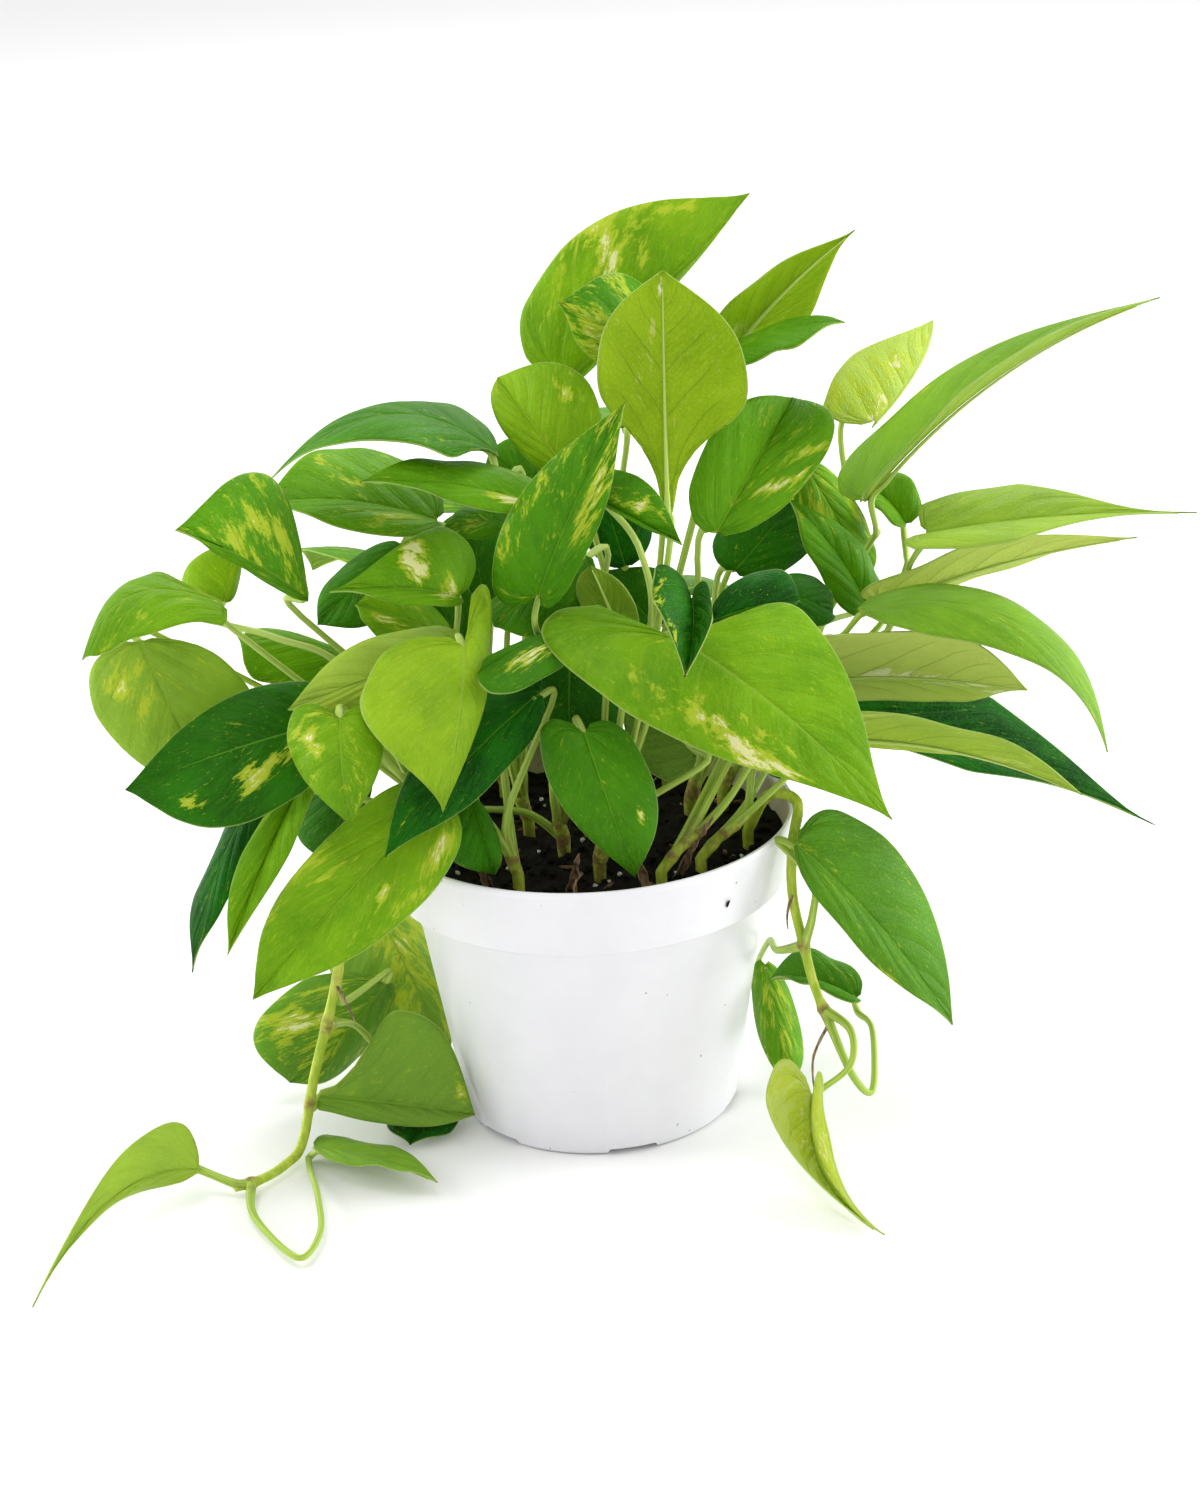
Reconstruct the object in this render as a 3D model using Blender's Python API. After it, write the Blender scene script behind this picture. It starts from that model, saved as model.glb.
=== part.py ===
"""A golden pothos in a white plastic nursery pot. Sizes are in millimetres and turned to metres once, in add_mesh."""

import math

import bpy
import numpy as np

# The pot: a thin moulded cone with a deep band round its mouth
POT_HEIGHT = 127.0
RIM_RADIUS = 83.5
BAND_FOOT_RADIUS = 80.0
BAND_FOOT_HEIGHT = 98.0
BODY_TOP_RADIUS = 72.5
BASE_RADIUS = 56.5
WALL = 1.5
FLOOR_TOP = 4.5
FLOOR_UNDER = 2.6
FOOT_RING_WIDTH = 4.0
PAD_RADIUS = 14.0
POT_SIDES = 32
NOTCH_COUNT = 6
NOTCH_WIDTH = 20.0
NOTCH_HEIGHT = 2.0
DRAIN_RADIUS = 4.0
DRAIN_CIRCLE = 42.0

# The soil: fills the pot to a little below the mouth
SOIL_TOP = 112.0
SOIL_LUMP = 1.6
SOIL_GAP = 0.4
SOIL_SIDES = 16
HOLE_SPARE = 0.45

# The greenery
BLADE_THICKNESS = 0.8
PETIOLE_RADIUS = 1.45
PETIOLE_SIDES = 4
PETIOLE_TIP_RADIUS = 1.0
STALK_UNDER = 0.3
STALK_SHARE = 0.5
STEM_RADIUS = 2.3
STEM_SIDES = 6
STEM_FOOT = 94.0
STEM_SOIL_EXIT = 119.0
STALK_LAST = 0.93

# Half a leaf laid flat: share of the length, share of the half width. It starts at the notch beside the stalk.
OUTLINE = (
    (-0.075, 0.16),
    (-0.10, 0.50),
    (-0.01, 0.84),
    (0.22, 1.00),
    (0.44, 0.93),
    (0.64, 0.70),
    (0.82, 0.36),
    (0.93, 0.13),
    (1.0, 0.0),
)
# How far a long lobe carries each of those stations back
LOBE_SHARES = (1.0, 1.0, 0.85, 0.3, 0.0, 0.0, 0.0, 0.0, 0.0)
# Where each of those stations meets the midrib
RIB_STATIONS = (0.0, 0.0, 0.0, 0.17, 0.38, 0.58, 0.78, 0.92, 1.0)
# The stations that a small leaf keeps, and the lengths from which a leaf has them all and a bend across its halves
SMALL_LEAF_STATIONS = (0, 2, 3, 5, 6, 8)
MEDIUM_LEAF = 55.0
LARGE_LEAF = 85.0
OUTLINE_BROADEST = 0.22

# Places are read on an upright sheet through the middle of the pot, as seen from the front and a
# little above: across, up, and then how far toward the viewer the place stands from that sheet.
VIEW_TILT = math.radians(22.0)
VIEW_ROLL = math.radians(2.95)
VIEW_DISTANCE = 1350.0
VIEW_AIM = np.array([6.5, 0.0, 152.0])


def view_axes():
    """The viewer's place, and the directions that look right and up from there."""
    back = np.array([0.0, -math.cos(VIEW_TILT), math.sin(VIEW_TILT)])
    level = np.array([1.0, 0.0, 0.0])
    rise = np.cross(back, level)
    right = level * math.cos(VIEW_ROLL) - rise * math.sin(VIEW_ROLL)
    up = rise * math.cos(VIEW_ROLL) + level * math.sin(VIEW_ROLL)
    return VIEW_AIM + VIEW_DISTANCE * back, right, up


EYE, VIEW_RIGHT, VIEW_UP = view_axes()


def spot(across, up, toward):
    """The point that shows at (across, up) and stands this far toward the viewer."""
    seen = VIEW_AIM + across * VIEW_RIGHT + up * VIEW_UP
    share = (-toward - EYE[1]) / (seen[1] - EYE[1])
    return EYE + share * (seen - EYE)


def rest(across, up, height):
    """The same for a point known by its height above the table."""
    seen = VIEW_AIM + across * VIEW_RIGHT + up * VIEW_UP
    share = (height - EYE[2]) / (seen[2] - EYE[2])
    point = EYE + share * (seen - EYE)
    return (across, up, -point[1])


def leaf(name, seat, tip, sides, arch=6.0, shows="upper", **more):
    """One leaf: where the blade meets its stalk, its tip, and the widest point of each half."""
    made = dict(name=name, seat=seat, tip=tip, sides=sides, arch=arch, shows=shows)
    made.update(mid=None, broad=0.25, lobes=(0.1, 0.1), taper=(1.0, 1.0), dome=2.0, wave=1.2)
    made.update(via=(), at=None)
    made.update(more)
    return made


# Every vine: where its stem leaves the soil, the stem's further points, and its leaves
VINES = (
    dict(
        name="vine_top",
        root=(18, 6),
        stem=((22, 8, 142),),
        leaves=(
            leaf(
                "top_1", (-12, 149, -28), (60, 223, -50), ((-15, 201, -40), (11, 166, -36)), 8,
                taper=(1.1, 1.2),
            ),
            leaf("top_2", (34, 150, -8), (-17, 179, 12), ((18, 186, -16), (4, 151, 0)), 6),
            leaf(
                "top_3", (27, 94, 24), (25, 192, 12), ((-1, 147, 20), (59, 143, 20)), 6, "under", broad=0.52,
                lobes=(-0.12, -0.12),
            ),
            leaf(
                "top_4", (51, 158, -26), (102, 208, -32), ((52, 179, -20), (82, 171, -36)), 4, "under",
                taper=(1.4, 1.4),
            ),
            leaf("top_5", (55, 161, -12), (98, 171, -8), ((68, 168, -26), (68, 157, 8)), 3),
        ),
    ),
    dict(
        name="vine_crown_left",
        root=(-24, 10),
        stem=((-27, 10, 130),),
        leaves=(
            leaf("crown_13", (-14, 113, 8), (-41, 149, -20), ((-36, 124, 0), (-4, 146, -4)), 6),
            leaf("crown_14", (-24, 104, -22), (-44, 120, -30), ((-40, 106, -26), (-28, 122, -28)), 2),
            leaf(
                "left_1", (-42, 119, 2), (-131, 109, 6), ((-66, 119, 30), (-60, 137, -28)), mid=(-86, 134, 2),
                lobes=(-0.12, -0.05), via=((-30, 103, -14),),
            ),
            leaf(
                "left_4", (-24, 98, 20), (-96, 107, 36), ((-46, 114, 6), (-48, 97, 36)), 4,
                via=((-28, 70, -2),),
            ),
            leaf("left_4b", (-38, 92, -6), (-64, 87, 4), ((-48, 98, -12), (-50, 84, 2)), 2),
        ),
    ),
    dict(
        name="vine_middle",
        root=(-10, -10),
        stem=((-12, -12, 129),),
        leaves=(
            leaf(
                "centre_5", (-24, 63, 38), (10, 139, 34), ((-40, 86, 34), (-3, 84, 44)), 8,
                via=((-20, 32, 14), (-26, 50, 34)),
            ),
            leaf("centre_6", (-6, 78, 11), (-42, 49, 19), ((-36, 66, 3), (-14, 50, 20)), 5),
            leaf(
                "centre_7", (-2, 101, 32), (33, 82, 46), ((14, 110, 36), (10, 93, 42)), 4,
                via=((18, 40, 16), (16, 80, 30)),
            ),
            leaf("centre_16", (-12, 36, 22), (-12, -2, 30), ((-34, 18, 22), (9, 18, 26)), 4),
            leaf(
                "left_15", (-66, -20, 62), (-139, -100, 88), ((-112, -38, 66), (-68, -58, 80)), 5,
                lobes=(0.1, 0),
                via=((-30, -25, 12), (-53, -23, 27)), at=0.0,
            ),
        ),
    ),
    dict(
        name="vine_crown_right",
        root=(42, 18),
        stem=((45, 18, 130),),
        leaves=(
            leaf("centre_8", (47, 88, 10), (77, 141, -28), ((43, 124, 3), (89, 116, 0)), 8),
            leaf("centre_9", (83, 112, -53), (105, 66, -60), ((104, 96, -60), (84, 84, -49)), 6),
            leaf(
                "centre_10", (107, 57, -30), (75, 101, -20), ((110, 73, -34), (88, 69, -16)), 5,
                via=((68, 36, -22), (88, 50, -30)),
            ),
            leaf("centre_11", (64, 62, 1), (93, 54, -10), ((80, 70, -13), (82, 50, 5)), 5),
            leaf("centre_12", (46, 52, 22), (80, 60, 10), ((62, 71, 8), (62, 48, 24)), 5),
            leaf("centre_13", (54, 72, -24), (78, 100, -38), ((50, 92, -34), (82, 78, -32)), 3),
        ),
    ),
    dict(
        name="vine_right_high",
        root=(56, 30),
        stem=((60, 32, 129),),
        leaves=(
            leaf(
                "top_6", (111, 132, -62), (133, 172, -96), ((93, 149, -60), (119, 144, -88)), 5,
                via=((80, 30, -36), (99, 84, -62)),
            ),
            leaf(
                "top_7", (107, 101, -28), (224, 181, -40), ((110, 129, -52), (130, 128, 6)),
                mid=(160, 150, -24), broad=0.2, lobes=(0, 0), taper=(1.35, 1.3), via=((105, 78, -42),),
            ),
            leaf(
                "top_8", (122, 91, -58), (104, 103, -80), ((125, 107, -66), (110, 97, -52)), 6,
                via=((112, 50, -54), (122, 72, -56)),
            ),
            leaf(
                "top_9", (132, 87, -8), (239, 95, -12), ((168, 107, -34), (166, 83, 16)), 3, broad=0.38,
                lobes=(0, 0.05), taper=(3.2, 2.3), via=((100, 24, -52), (120, 60, -44)),
            ),
        ),
    ),
    dict(
        name="vine_right",
        root=(28, -48),
        stem=((35, -46, 127), (44, -42, 133)),
        leaves=(
            leaf(
                "top_10", (117, 60, -18), (215, 85, -42), ((134, 77, -10), (146, 66, -40)), 0, "under",
                mid=(164, 76, -29), taper=(1.3, 1.3), via=((66, 28, 4), (90, 44, -10)),
            ),
            leaf(
                "right_1", (105, 57, 14), (203, -1, 32), ((144, 65, -6), (136, 46, 38)), 28,
                lobes=(-0.05, -0.05),
                via=((71, 30, 8), (88, 44, 4)),
            ),
            leaf(
                "right_2", (80, 28, 12), (171, 24, 14), ((120, 48, 24), (122, 19, -8)), 4, "under", broad=0.4,
            ),
        ),
    ),
    dict(
        name="vine_right_low",
        root=(44, -37),
        stem=((51, -35, 126), (59, -33, 131)),
        leaves=(
            leaf(
                "right_3", (85, 12, -14), (222, -30, -16), ((155, 21, -36), (148, -8, 2)), 8, broad=0.5,
                taper=(2.2, 2.4),
            ),
            leaf("right_4", (88, 5, 26), (193, -18, 30), ((118, 14, 42), (118, 1, 13)), 7, "under"),
            leaf("right_5", (66, -6, 22), (98, 4, 0), ((82, 14, 6), (86, -10, 16)), 3),
        ),
    ),
    dict(
        name="vine_front",
        root=(4, -36),
        stem=((6, -39, 128),),
        leaves=(
            leaf(
                "centre_1", (32, 44, 46), (117, -28, 78), ((10, 15, 70), (81, 56, 30)), 10, lobes=(0.3, -0.12),
                taper=(1.2, 1.4),
            ),
            leaf(
                "centre_2", (37, 60, 58), (34, 29, 92), ((21, 66, 75), (45, 58, 72)), 4, lobes=(0.3, 0.2),
                via=((24, 26, 32), (36, 52, 38)),
            ),
            leaf("centre_3", (-6, 6, 54), (14, -51, 68), ((-22, -8, 58), (20, -9, 58)), 6),
            leaf(
                "centre_4", (-2, 49, 24), (-49, 30, 59), ((-28, 42, 31), (-34, 24, 66)), 5,
                via=((2, 14, 34), (4, 40, 28)),
            ),
            leaf("centre_17", (38, 0, 28), (8, 25, 24), ((30, 28, 20), (20, -9, 30)), 3, "under"),
            leaf("centre_4b", (8, 46, 24), (-4, 74, 18), ((-8, 58, 20), (14, 58, 22)), 3, "under"),
        ),
    ),
    dict(
        name="vine_left_high",
        root=(-46, 28),
        stem=((-50, 28, 130),),
        leaves=(
            leaf("left_2", (-66, 92, -14), (-134, 99, -22), ((-92, 120, -46), (-98, 88, 2)), 5),
            leaf(
                "left_3", (-117, 60, 34), (-170, 88, 66), ((-129, 107, 26), (-141, 71, 54)), 6, broad=0.32,
                lobes=(-0.12, 0.0),
            ),
            leaf("left_17", (-57, 61, 30), (-109, 63, 48), ((-64, 89, 14), (-76, 58, 46)), 5, taper=(1.6, 1.1)),
            leaf("left_19", (-80, 80, -14), (-113, 50, -6), ((-102, 74, -16), (-82, 56, -6)), 5),
            leaf("left_22", (-54, 40, -14), (-70, 72, -20), ((-78, 54, -18), (-50, 60, -16)), 4),
        ),
    ),
    dict(
        name="vine_left",
        root=(-62, 6),
        stem=((-65, 5, 129),),
        leaves=(
            leaf(
                "left_6", (-152, 59, 44), (-207, 36, 84), ((-184, 70, 34), (-186, 44, 76)), mid=(-187, 62, 60),
                broad=0.5, lobes=(-0.12, 0.0), taper=(1.3, 1.0),
            ),
            leaf(
                "left_23", (-150, 60, 30), (-147, 84, 18), ((-167, 68, 26), (-144, 70, 22)), 2,
                via=((-100, 30, 24), (-130, 45, 30)),
            ),
            leaf(
                "left_7", (-184, 43, 36), (-150, -26, 40), ((-202, 15, 40), (-140, 24, 30)), 5, lobes=(0, 0),
                taper=(1.2, 1.2),
            ),
            leaf("left_18", (-61, 44, 9), (-98, 58, 14), ((-76, 63, -3), (-86, 44, 17)), 4),
            leaf("left_20", (-100, 37, -4), (-145, 45, 8), ((-120, 45, -14), (-130, 25, 16)), 4),
        ),
    ),
    dict(
        name="vine_left_front",
        root=(-45, -16),
        stem=((-50, -20, 129),),
        leaves=(
            leaf("left_8", (-114, 10, 46), (-190, -16, 74), ((-137, 25, 40), (-139, -28, 72)), 6),
            leaf(
                "left_9", (-138, -18, 44), (-163, -89, 64), ((-155, -42, 40), (-141, -48, 58)), 5,
                taper=(1.4, 1.2),
            ),
            leaf(
                "left_10", (-122, -18, 52), (-149, -82, 86), ((-143, -42, 70), (-120, -32, 66)), 5,
                taper=(1.2, 1.0),
            ),
            leaf(
                "left_11", (-104, 12, 71), (-100, -30, 86), ((-125, 6, 69), (-87, 4, 74)), 5,
                via=((-86, -4, 58),),
            ),
            leaf("left_12", (-58, 38, 32), (-125, 16, 54), ((-84, 47, 30), (-90, 18, 48)), 6),
            leaf("left_21", (-96, -8, 26), (-110, -44, 30), ((-120, -22, 22), (-94, -26, 26)), 3),
        ),
    ),
    dict(
        name="vine_front_left",
        root=(-28, -44),
        stem=((-31, -45, 129),),
        leaves=(
            leaf(
                "left_13", (-54, 41, 54), (-63, -25, 90), ((-96, 20, 70), (-44, 33, 46)), 5, lobes=(0.1, 0.35),
                taper=(1.3, 1.2), via=((-42, 12, 27),),
            ),
            leaf("left_14", (-25, 22, 44), (-86, -43, 84), ((-58, 14, 40), (-38, -9, 62)), 6, lobes=(0.1, 0)),
            leaf("left_16", (-52, -20, 51), (-42, -50, 60), ((-64, -36, 57), (-41, -34, 57)), 4),
        ),
    ),
    dict(
        name="vine_trailing_left",
        root=(-60, -27),
        stem=((-70, -28, 137), (-87, -31, 135), (-98, -35, 108))
        + tuple(tuple(spot(*p)) for p in ((-105, -90, 35), (-114, -129, 38)))
        + tuple(tuple(spot(*rest(*p))) for p in ((-119, -157, 7), (-126, -166, 4), (-136, -172, 4), (-146, -175, 4))),
        leaves=(
            leaf("low_1", (-88, -66, -34), (-60, -124, -28), ((-68, -76, -42), (-106, -94, -30)), 6, at=0.3),
            leaf("low_2", (-86, -94, -14), (-124, -133, -2), ((-133, -103, -8), (-94, -120, -14)), 6, at=0.45),
            leaf(
                "low_3", (-112, -139, 34), (-50, -146, 30), ((-80, -104, 18), (-84, -150, 44)), 5, broad=0.45,
                lobes=(-0.12, 0), at=0.6,
            ),
            leaf(
                "low_4", (-64, -132, 10), (-76, -158, 45), ((-84, -146, 30), (-56, -148, 28)), 3, at=0.5,
                via=((-98, -110, 12), (-84, -124, 6)),
            ),
            leaf(
                "low_5", (-161, -168, 77), rest(-227, -223, 2), ((-172, -149, 68), (-177, -175, 86)), at=1.0,
                mid=(-196, -180, 104), broad=0.16, lobes=(-0.1, -0.1), taper=(1.2, 1.2),
            ),
            leaf(
                "low_6", (-114, -159, 52), (-65, -173, 84), ((-97, -156, 42), (-99, -166, 74)), 3,
                at=1.0, lobes=(0, 0),
                via=tuple(rest(*p) for p in ((-138, -187, 4), (-121, -203, 4), (-112, -193, 4), (-113, -178, 6))),
            ),
        ),
    ),
    dict(
        name="vine_trailing_right",
        root=(64, -12),
        stem=((72, -20, 137), (83, -28, 137))
        + tuple(tuple(spot(*p)) for p in ((77, -38, 36), (77, -58, 40), (82, -80, 44), (86, -95, 47), (93, -112, 52))),
        leaves=(
            leaf(
                "low_right_1", (79, -38, 46), (141, -110, 52), ((112, -34, 26), (98, -74, 60)), 6,
                at=0.7, lobes=(0, 0),
                via=((85, -66, 49), (85, -52, 50)),
            ),
            leaf(
                "low_right_2", (66, -86, -24), (75, -136, 14), ((80, -111, -8), (62, -107, -12)), 4, at=0.7,
                via=((71, -80, 28), (68, -76, 0)),
            ),
            leaf(
                "low_right_3", (102, -99, 30), (68, -92, 2), ((92, -82, 4), (90, -97, 36)), 4, at=1.0,
                via=((101, -130, 60), (109, -136, 58), (109, -112, 46)),
            ),
            leaf(
                "low_right_4", (85, -139, 72), rest(114, -194, 2), ((67, -142, 78), (91, -152, 100)), at=1.0,
                mid=(90, -171, 96), taper=(1.4, 1.2), via=((100, -112, 58), (100, -126, 66)),
            ),
        ),
    ),
    dict(
        name="vine_back_left",
        root=(-34, 50),
        stem=((-37, 52, 130),),
        leaves=(
            leaf("back_1", (-45, 98, -58), (-75, 98, -140), ((-90, 100, -90), (-30, 100, -95)), 8),
            leaf("back_11", (-46, 56, -28), (-52, 98, -44), ((-66, 76, -38), (-34, 78, -38)), 4),
            leaf("back_2", (-70, 70, -50), (-115, 72, -115), ((-112, 78, -72), (-70, 74, -95)), 8, "under"),
            leaf("back_3", (-80, 20, -45), (-110, 15, -120), ((-130, 18, -80), (-70, 20, -90)), 8, "under"),
        ),
    ),
    dict(
        name="vine_back",
        root=(0, 42),
        stem=((0, 45, 131),),
        leaves=(
            leaf("back_4", (10, 130, -50), (10, 128, -135), ((-22, 130, -80), (40, 130, -80)), 8, "under"),
            leaf("back_5", (30, 64, -60), (20, 60, -140), ((-10, 64, -90), (55, 64, -92)), 8, "under"),
            leaf("back_6", (-20, 20, -60), (-30, 0, -140), ((-55, 10, -95), (10, 10, -95)), 8, "under"),
            leaf("centre_15", (22, 50, -25), (2, 72, -33), ((4, 52, -27), (30, 68, -31)), 3),
            leaf(
                "centre_14", (10, 74, -26), (0, 106, -36), ((-8, 88, -32), (20, 96, -34)), 3,
                via=((12, 48, -49), (17, 66, -48)),
            ),
        ),
    ),
    dict(
        name="vine_back_right",
        root=(34, 56),
        stem=((36, 58, 130),),
        leaves=(
            leaf("back_7", (60, 100, -62), (75, 98, -142), ((45, 102, -98), (95, 100, -96)), 8, "under"),
            leaf("back_8", (85, 40, -50), (110, 36, -125), ((75, 38, -90), (130, 40, -85)), 8, "under"),
            leaf("back_9", (55, 20, -65), (75, 12, -140), ((30, 14, -95), (95, 16, -95)), 8, "under"),
        ),
    ),
)


def unit(vector):
    return vector / np.linalg.norm(vector)


def smooth(points, count):
    """Count points along a curve that runs through all of these."""
    points = [np.asarray(p, float) for p in points]
    points = [2 * points[0] - points[1]] + points + [2 * points[-1] - points[-2]]
    spans = len(points) - 3
    found = []
    for i in range(count):
        place = spans * i / (count - 1)
        k = min(int(place), spans - 1)
        t = place - k
        a, b, c, d = points[k : k + 4]
        found.append(
            0.5 * (2 * b + (c - a) * t + (2 * a - 5 * b + 4 * c - d) * t**2 + (3 * b - a - 3 * c + d) * t**3)
        )
    return found


def tube(points, radii, sides):
    """(verts, faces) of a closed round rod along these points."""
    points = np.array(points)
    verts = []
    across = None
    for i, point in enumerate(points):
        ahead = unit(points[min(i + 1, len(points) - 1)] - points[max(i - 1, 0)])
        if across is None:
            across = np.cross(ahead, [0.3, 1.0, 0.2])
        across = unit(across - ahead * (across @ ahead))
        third = np.cross(ahead, across)
        for k in range(sides):
            angle = 2 * math.pi * k / sides
            verts.append(point + radii[i] * (math.cos(angle) * across + math.sin(angle) * third))
    faces = []
    for i in range(len(points) - 1):
        for k in range(sides):
            a = i * sides + k
            b = i * sides + (k + 1) % sides
            faces += [(a, b, b + sides), (a, b + sides, a + sides)]
    last = (len(points) - 1) * sides
    for k in range(1, sides - 1):
        faces.append((0, k + 1, k))
        faces.append((last, last + k, last + k + 1))
    return verts, faces


class Blade:
    """The bent surface of one leaf, from its flat outline."""

    def __init__(self, made, phase):
        self.made = made
        self.phase = phase
        self.seat, self.tip = spot(*made["seat"]), spot(*made["tip"])
        a, b = spot(*made["sides"][0]), spot(*made["sides"][1])
        self.chord = self.tip - self.seat
        self.length = np.linalg.norm(self.chord)
        face = unit(np.cross(b - a, self.chord))
        facing = face @ (EYE - self.seat) > 0
        if facing != (made["shows"] == "upper"):
            face = -face
        self.face = face
        if made["mid"] is None:
            self.bulge = face * made["arch"]
        else:
            self.bulge = spot(*made["mid"]) - (self.seat + self.tip) / 2
        self.halves = (a - self.rib(made["broad"]), b - self.rib(made["broad"]))
        self.stretch = math.log(made["broad"]) / math.log(OUTLINE_BROADEST)
        self.onward = self.rib(RIB_STATIONS[3] ** self.stretch) - self.seat
        seat_face = unit(np.cross(self.halves[1] - self.halves[0], self.onward))
        self.seat_face = seat_face if seat_face @ face > 0 else -seat_face

    def rib(self, u):
        """The midrib, from the seat at 0 to the tip at 1, and a little behind the seat below 0."""
        if u < 0:
            return self.seat + (self.chord + 4 * self.bulge) * u
        return self.seat + self.chord * u + self.bulge * 4 * u * (1 - u)

    def outline(self, half):
        """The flat outline of one half. A lobe over 0.1 runs further back, and one under 0.1 fills in to a straight base."""
        lobe = self.made["lobes"][half]
        found = []
        for (u, wide), share in zip(OUTLINE, LOBE_SHARES):
            if lobe > 0.1:
                u -= (lobe - 0.1) * share
            elif u < 0:
                u += (0.15 * wide - u) * (0.1 - lobe) / 0.22
            found.append((u, wide))
        return found

    def point(self, u, across):
        """The point at this share of the length and this share of a half's width, negative for the first half."""
        made = self.made
        half = 0 if across < 0 else 1
        reach = abs(across)
        if u > 0:
            u = u**self.stretch
        if u > made["broad"]:
            reach *= ((1 - u) / (1 - made["broad"])) ** (made["taper"][half] - 1)
        ripple = made["wave"] * reach**2 * math.sin(9.0 * u + self.phase + 2.0 * half)
        swell = made["dome"] * math.sin(math.pi * min(reach, 1.0))
        return self.rib(u) + self.halves[half] * reach + self.face * (swell + ripple)

    def stations(self, half):
        """One half's rows of flat places from midrib to edge, a row for each outline point."""
        hidden = self.made["name"].startswith("back")
        large = self.length > LARGE_LEAF and not hidden
        steps = (0.0, 0.5, 1.0) if large else (0.0, 1.0)
        rows = []
        for i, (u, wide) in enumerate(self.outline(half)):
            rib = RIB_STATIONS[i]
            if i in SMALL_LEAF_STATIONS or (self.length > MEDIUM_LEAF and not hidden):
                rows.append([(rib + (u - rib) * s, wide * s) for s in steps])
        return rows

    def solid(self):
        """(verts, faces) of the blade with its thickness."""
        places, index = [], {}

        def number(u, across):
            key = (round(u, 5), round(across, 5))
            if key not in index:
                index[key] = len(places)
                places.append(self.point(u, across))
            return index[key]

        faces = []
        for half, sign in ((0, -1), (1, 1)):
            rows = self.stations(half)
            for row, after in zip(rows, rows[1:]):
                for s in range(len(row) - 1):
                    corners = [row[s], row[s + 1], after[s + 1], after[s]]
                    ids = [number(u, sign * across) for u, across in corners]
                    for face in ((ids[0], ids[1], ids[2]), (ids[0], ids[2], ids[3])):
                        if len(set(face)) == 3:
                            faces.append(face if sign > 0 else face[::-1])
        places = np.array(places)
        faces = np.array(faces)
        normals = np.zeros_like(places)
        for face in faces:
            a, b, c = places[face]
            normals[face] += np.cross(b - a, c - a)
        if normals.sum(axis=0) @ self.face < 0:
            faces = faces[:, ::-1]
            normals = -normals
        normals /= np.linalg.norm(normals, axis=1)[:, None]
        half = 0.5 * BLADE_THICKNESS
        count = len(places)
        verts = np.concatenate([places + normals * half, places - normals * half])
        edges = {}
        for face in faces:
            for a, b in ((face[0], face[1]), (face[1], face[2]), (face[2], face[0])):
                if (b, a) in edges:
                    del edges[(b, a)]
                else:
                    edges[(a, b)] = True
        solid = [tuple(face) for face in faces] + [tuple(face[::-1] + count) for face in faces]
        for a, b in edges:
            solid += [(b, a, a + count), (b, a + count, b + count)]
        return list(verts), solid


def stalk_path(blade, start, grown):
    """The stalk from the stem up to the blade, then on under the midrib as its raised part."""
    arrive = unit(0.45 * unit(blade.chord) + 0.55 * blade.seat_face)
    span = np.linalg.norm(blade.seat - start)
    via = [spot(*p) for p in blade.made["via"]]
    if via:
        points = [start] + via
    else:
        points = [start, start + 0.3 * span * unit(grown + 1.2 * unit(blade.seat - start))]
    under = STALK_UNDER * blade.seat_face
    points += [blade.seat - arrive * min(14.0, 0.2 * span) - under, blade.seat + STALK_SHARE * blade.onward - under]
    count = 5 + 2 * len(via)
    return smooth(points, count), list(np.linspace(PETIOLE_RADIUS, PETIOLE_TIP_RADIUS, count))


def stem_path(vine):
    x, y = vine["root"]
    upright = [np.array([x, y, STEM_FOOT]), np.array([x, y, STEM_SOIL_EXIT])]
    further = [np.array(p, float) for p in vine["stem"]]
    return upright[:1] + smooth([upright[1]] + further, 2 * len(further) + 1)


def add_mesh(name, verts, faces, material):
    """A closed mesh of triangles with its faces outward."""
    verts, faces = np.array(verts, float), np.array(faces)
    if np.linalg.det(verts[faces]).sum() < 0:
        faces = faces[:, ::-1]
    mesh = bpy.data.meshes.new(name)
    mesh.from_pydata((0.001 * verts).tolist(), [], faces.tolist())
    mesh.materials.append(material)
    mesh.update()
    made = bpy.data.objects.new(name, mesh)
    bpy.context.scene.collection.objects.link(made)
    return made


def material(name, colour, roughness):
    made = bpy.data.materials.new(name)
    made.use_nodes = True
    shader = made.node_tree.nodes["Principled BSDF"]
    shader.inputs["Base Color"].default_value = (*colour, 1.0)
    shader.inputs["Roughness"].default_value = roughness
    return made


def make_active(obj):
    bpy.ops.object.select_all(action="DESELECT")
    obj.select_set(True)
    bpy.context.view_layer.objects.active = obj


def smooth_shade(obj, degrees):
    for face in obj.data.polygons:
        face.use_smooth = True
    obj.data.set_sharp_from_angle(angle=math.radians(degrees))


def combine(base, others, operation):
    """One Boolean over a collection of pieces, applied, after which the pieces are gone."""
    group = bpy.data.collections.new(base.name + "_pieces")
    bpy.context.scene.collection.children.link(group)
    for other in others:
        bpy.context.scene.collection.objects.unlink(other)
        group.objects.link(other)
        other.hide_render = True
        other.display_type = "WIRE"
    join = base.modifiers.new("Combine", "BOOLEAN")
    join.operation = operation
    join.operand_type = "COLLECTION"
    join.collection = group
    join.solver = "MANIFOLD" if operation == "UNION" else "EXACT"
    make_active(base)
    bpy.ops.object.modifier_apply(modifier=join.name)
    for other in others:
        bpy.data.objects.remove(other)
    bpy.data.collections.remove(group)


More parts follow.
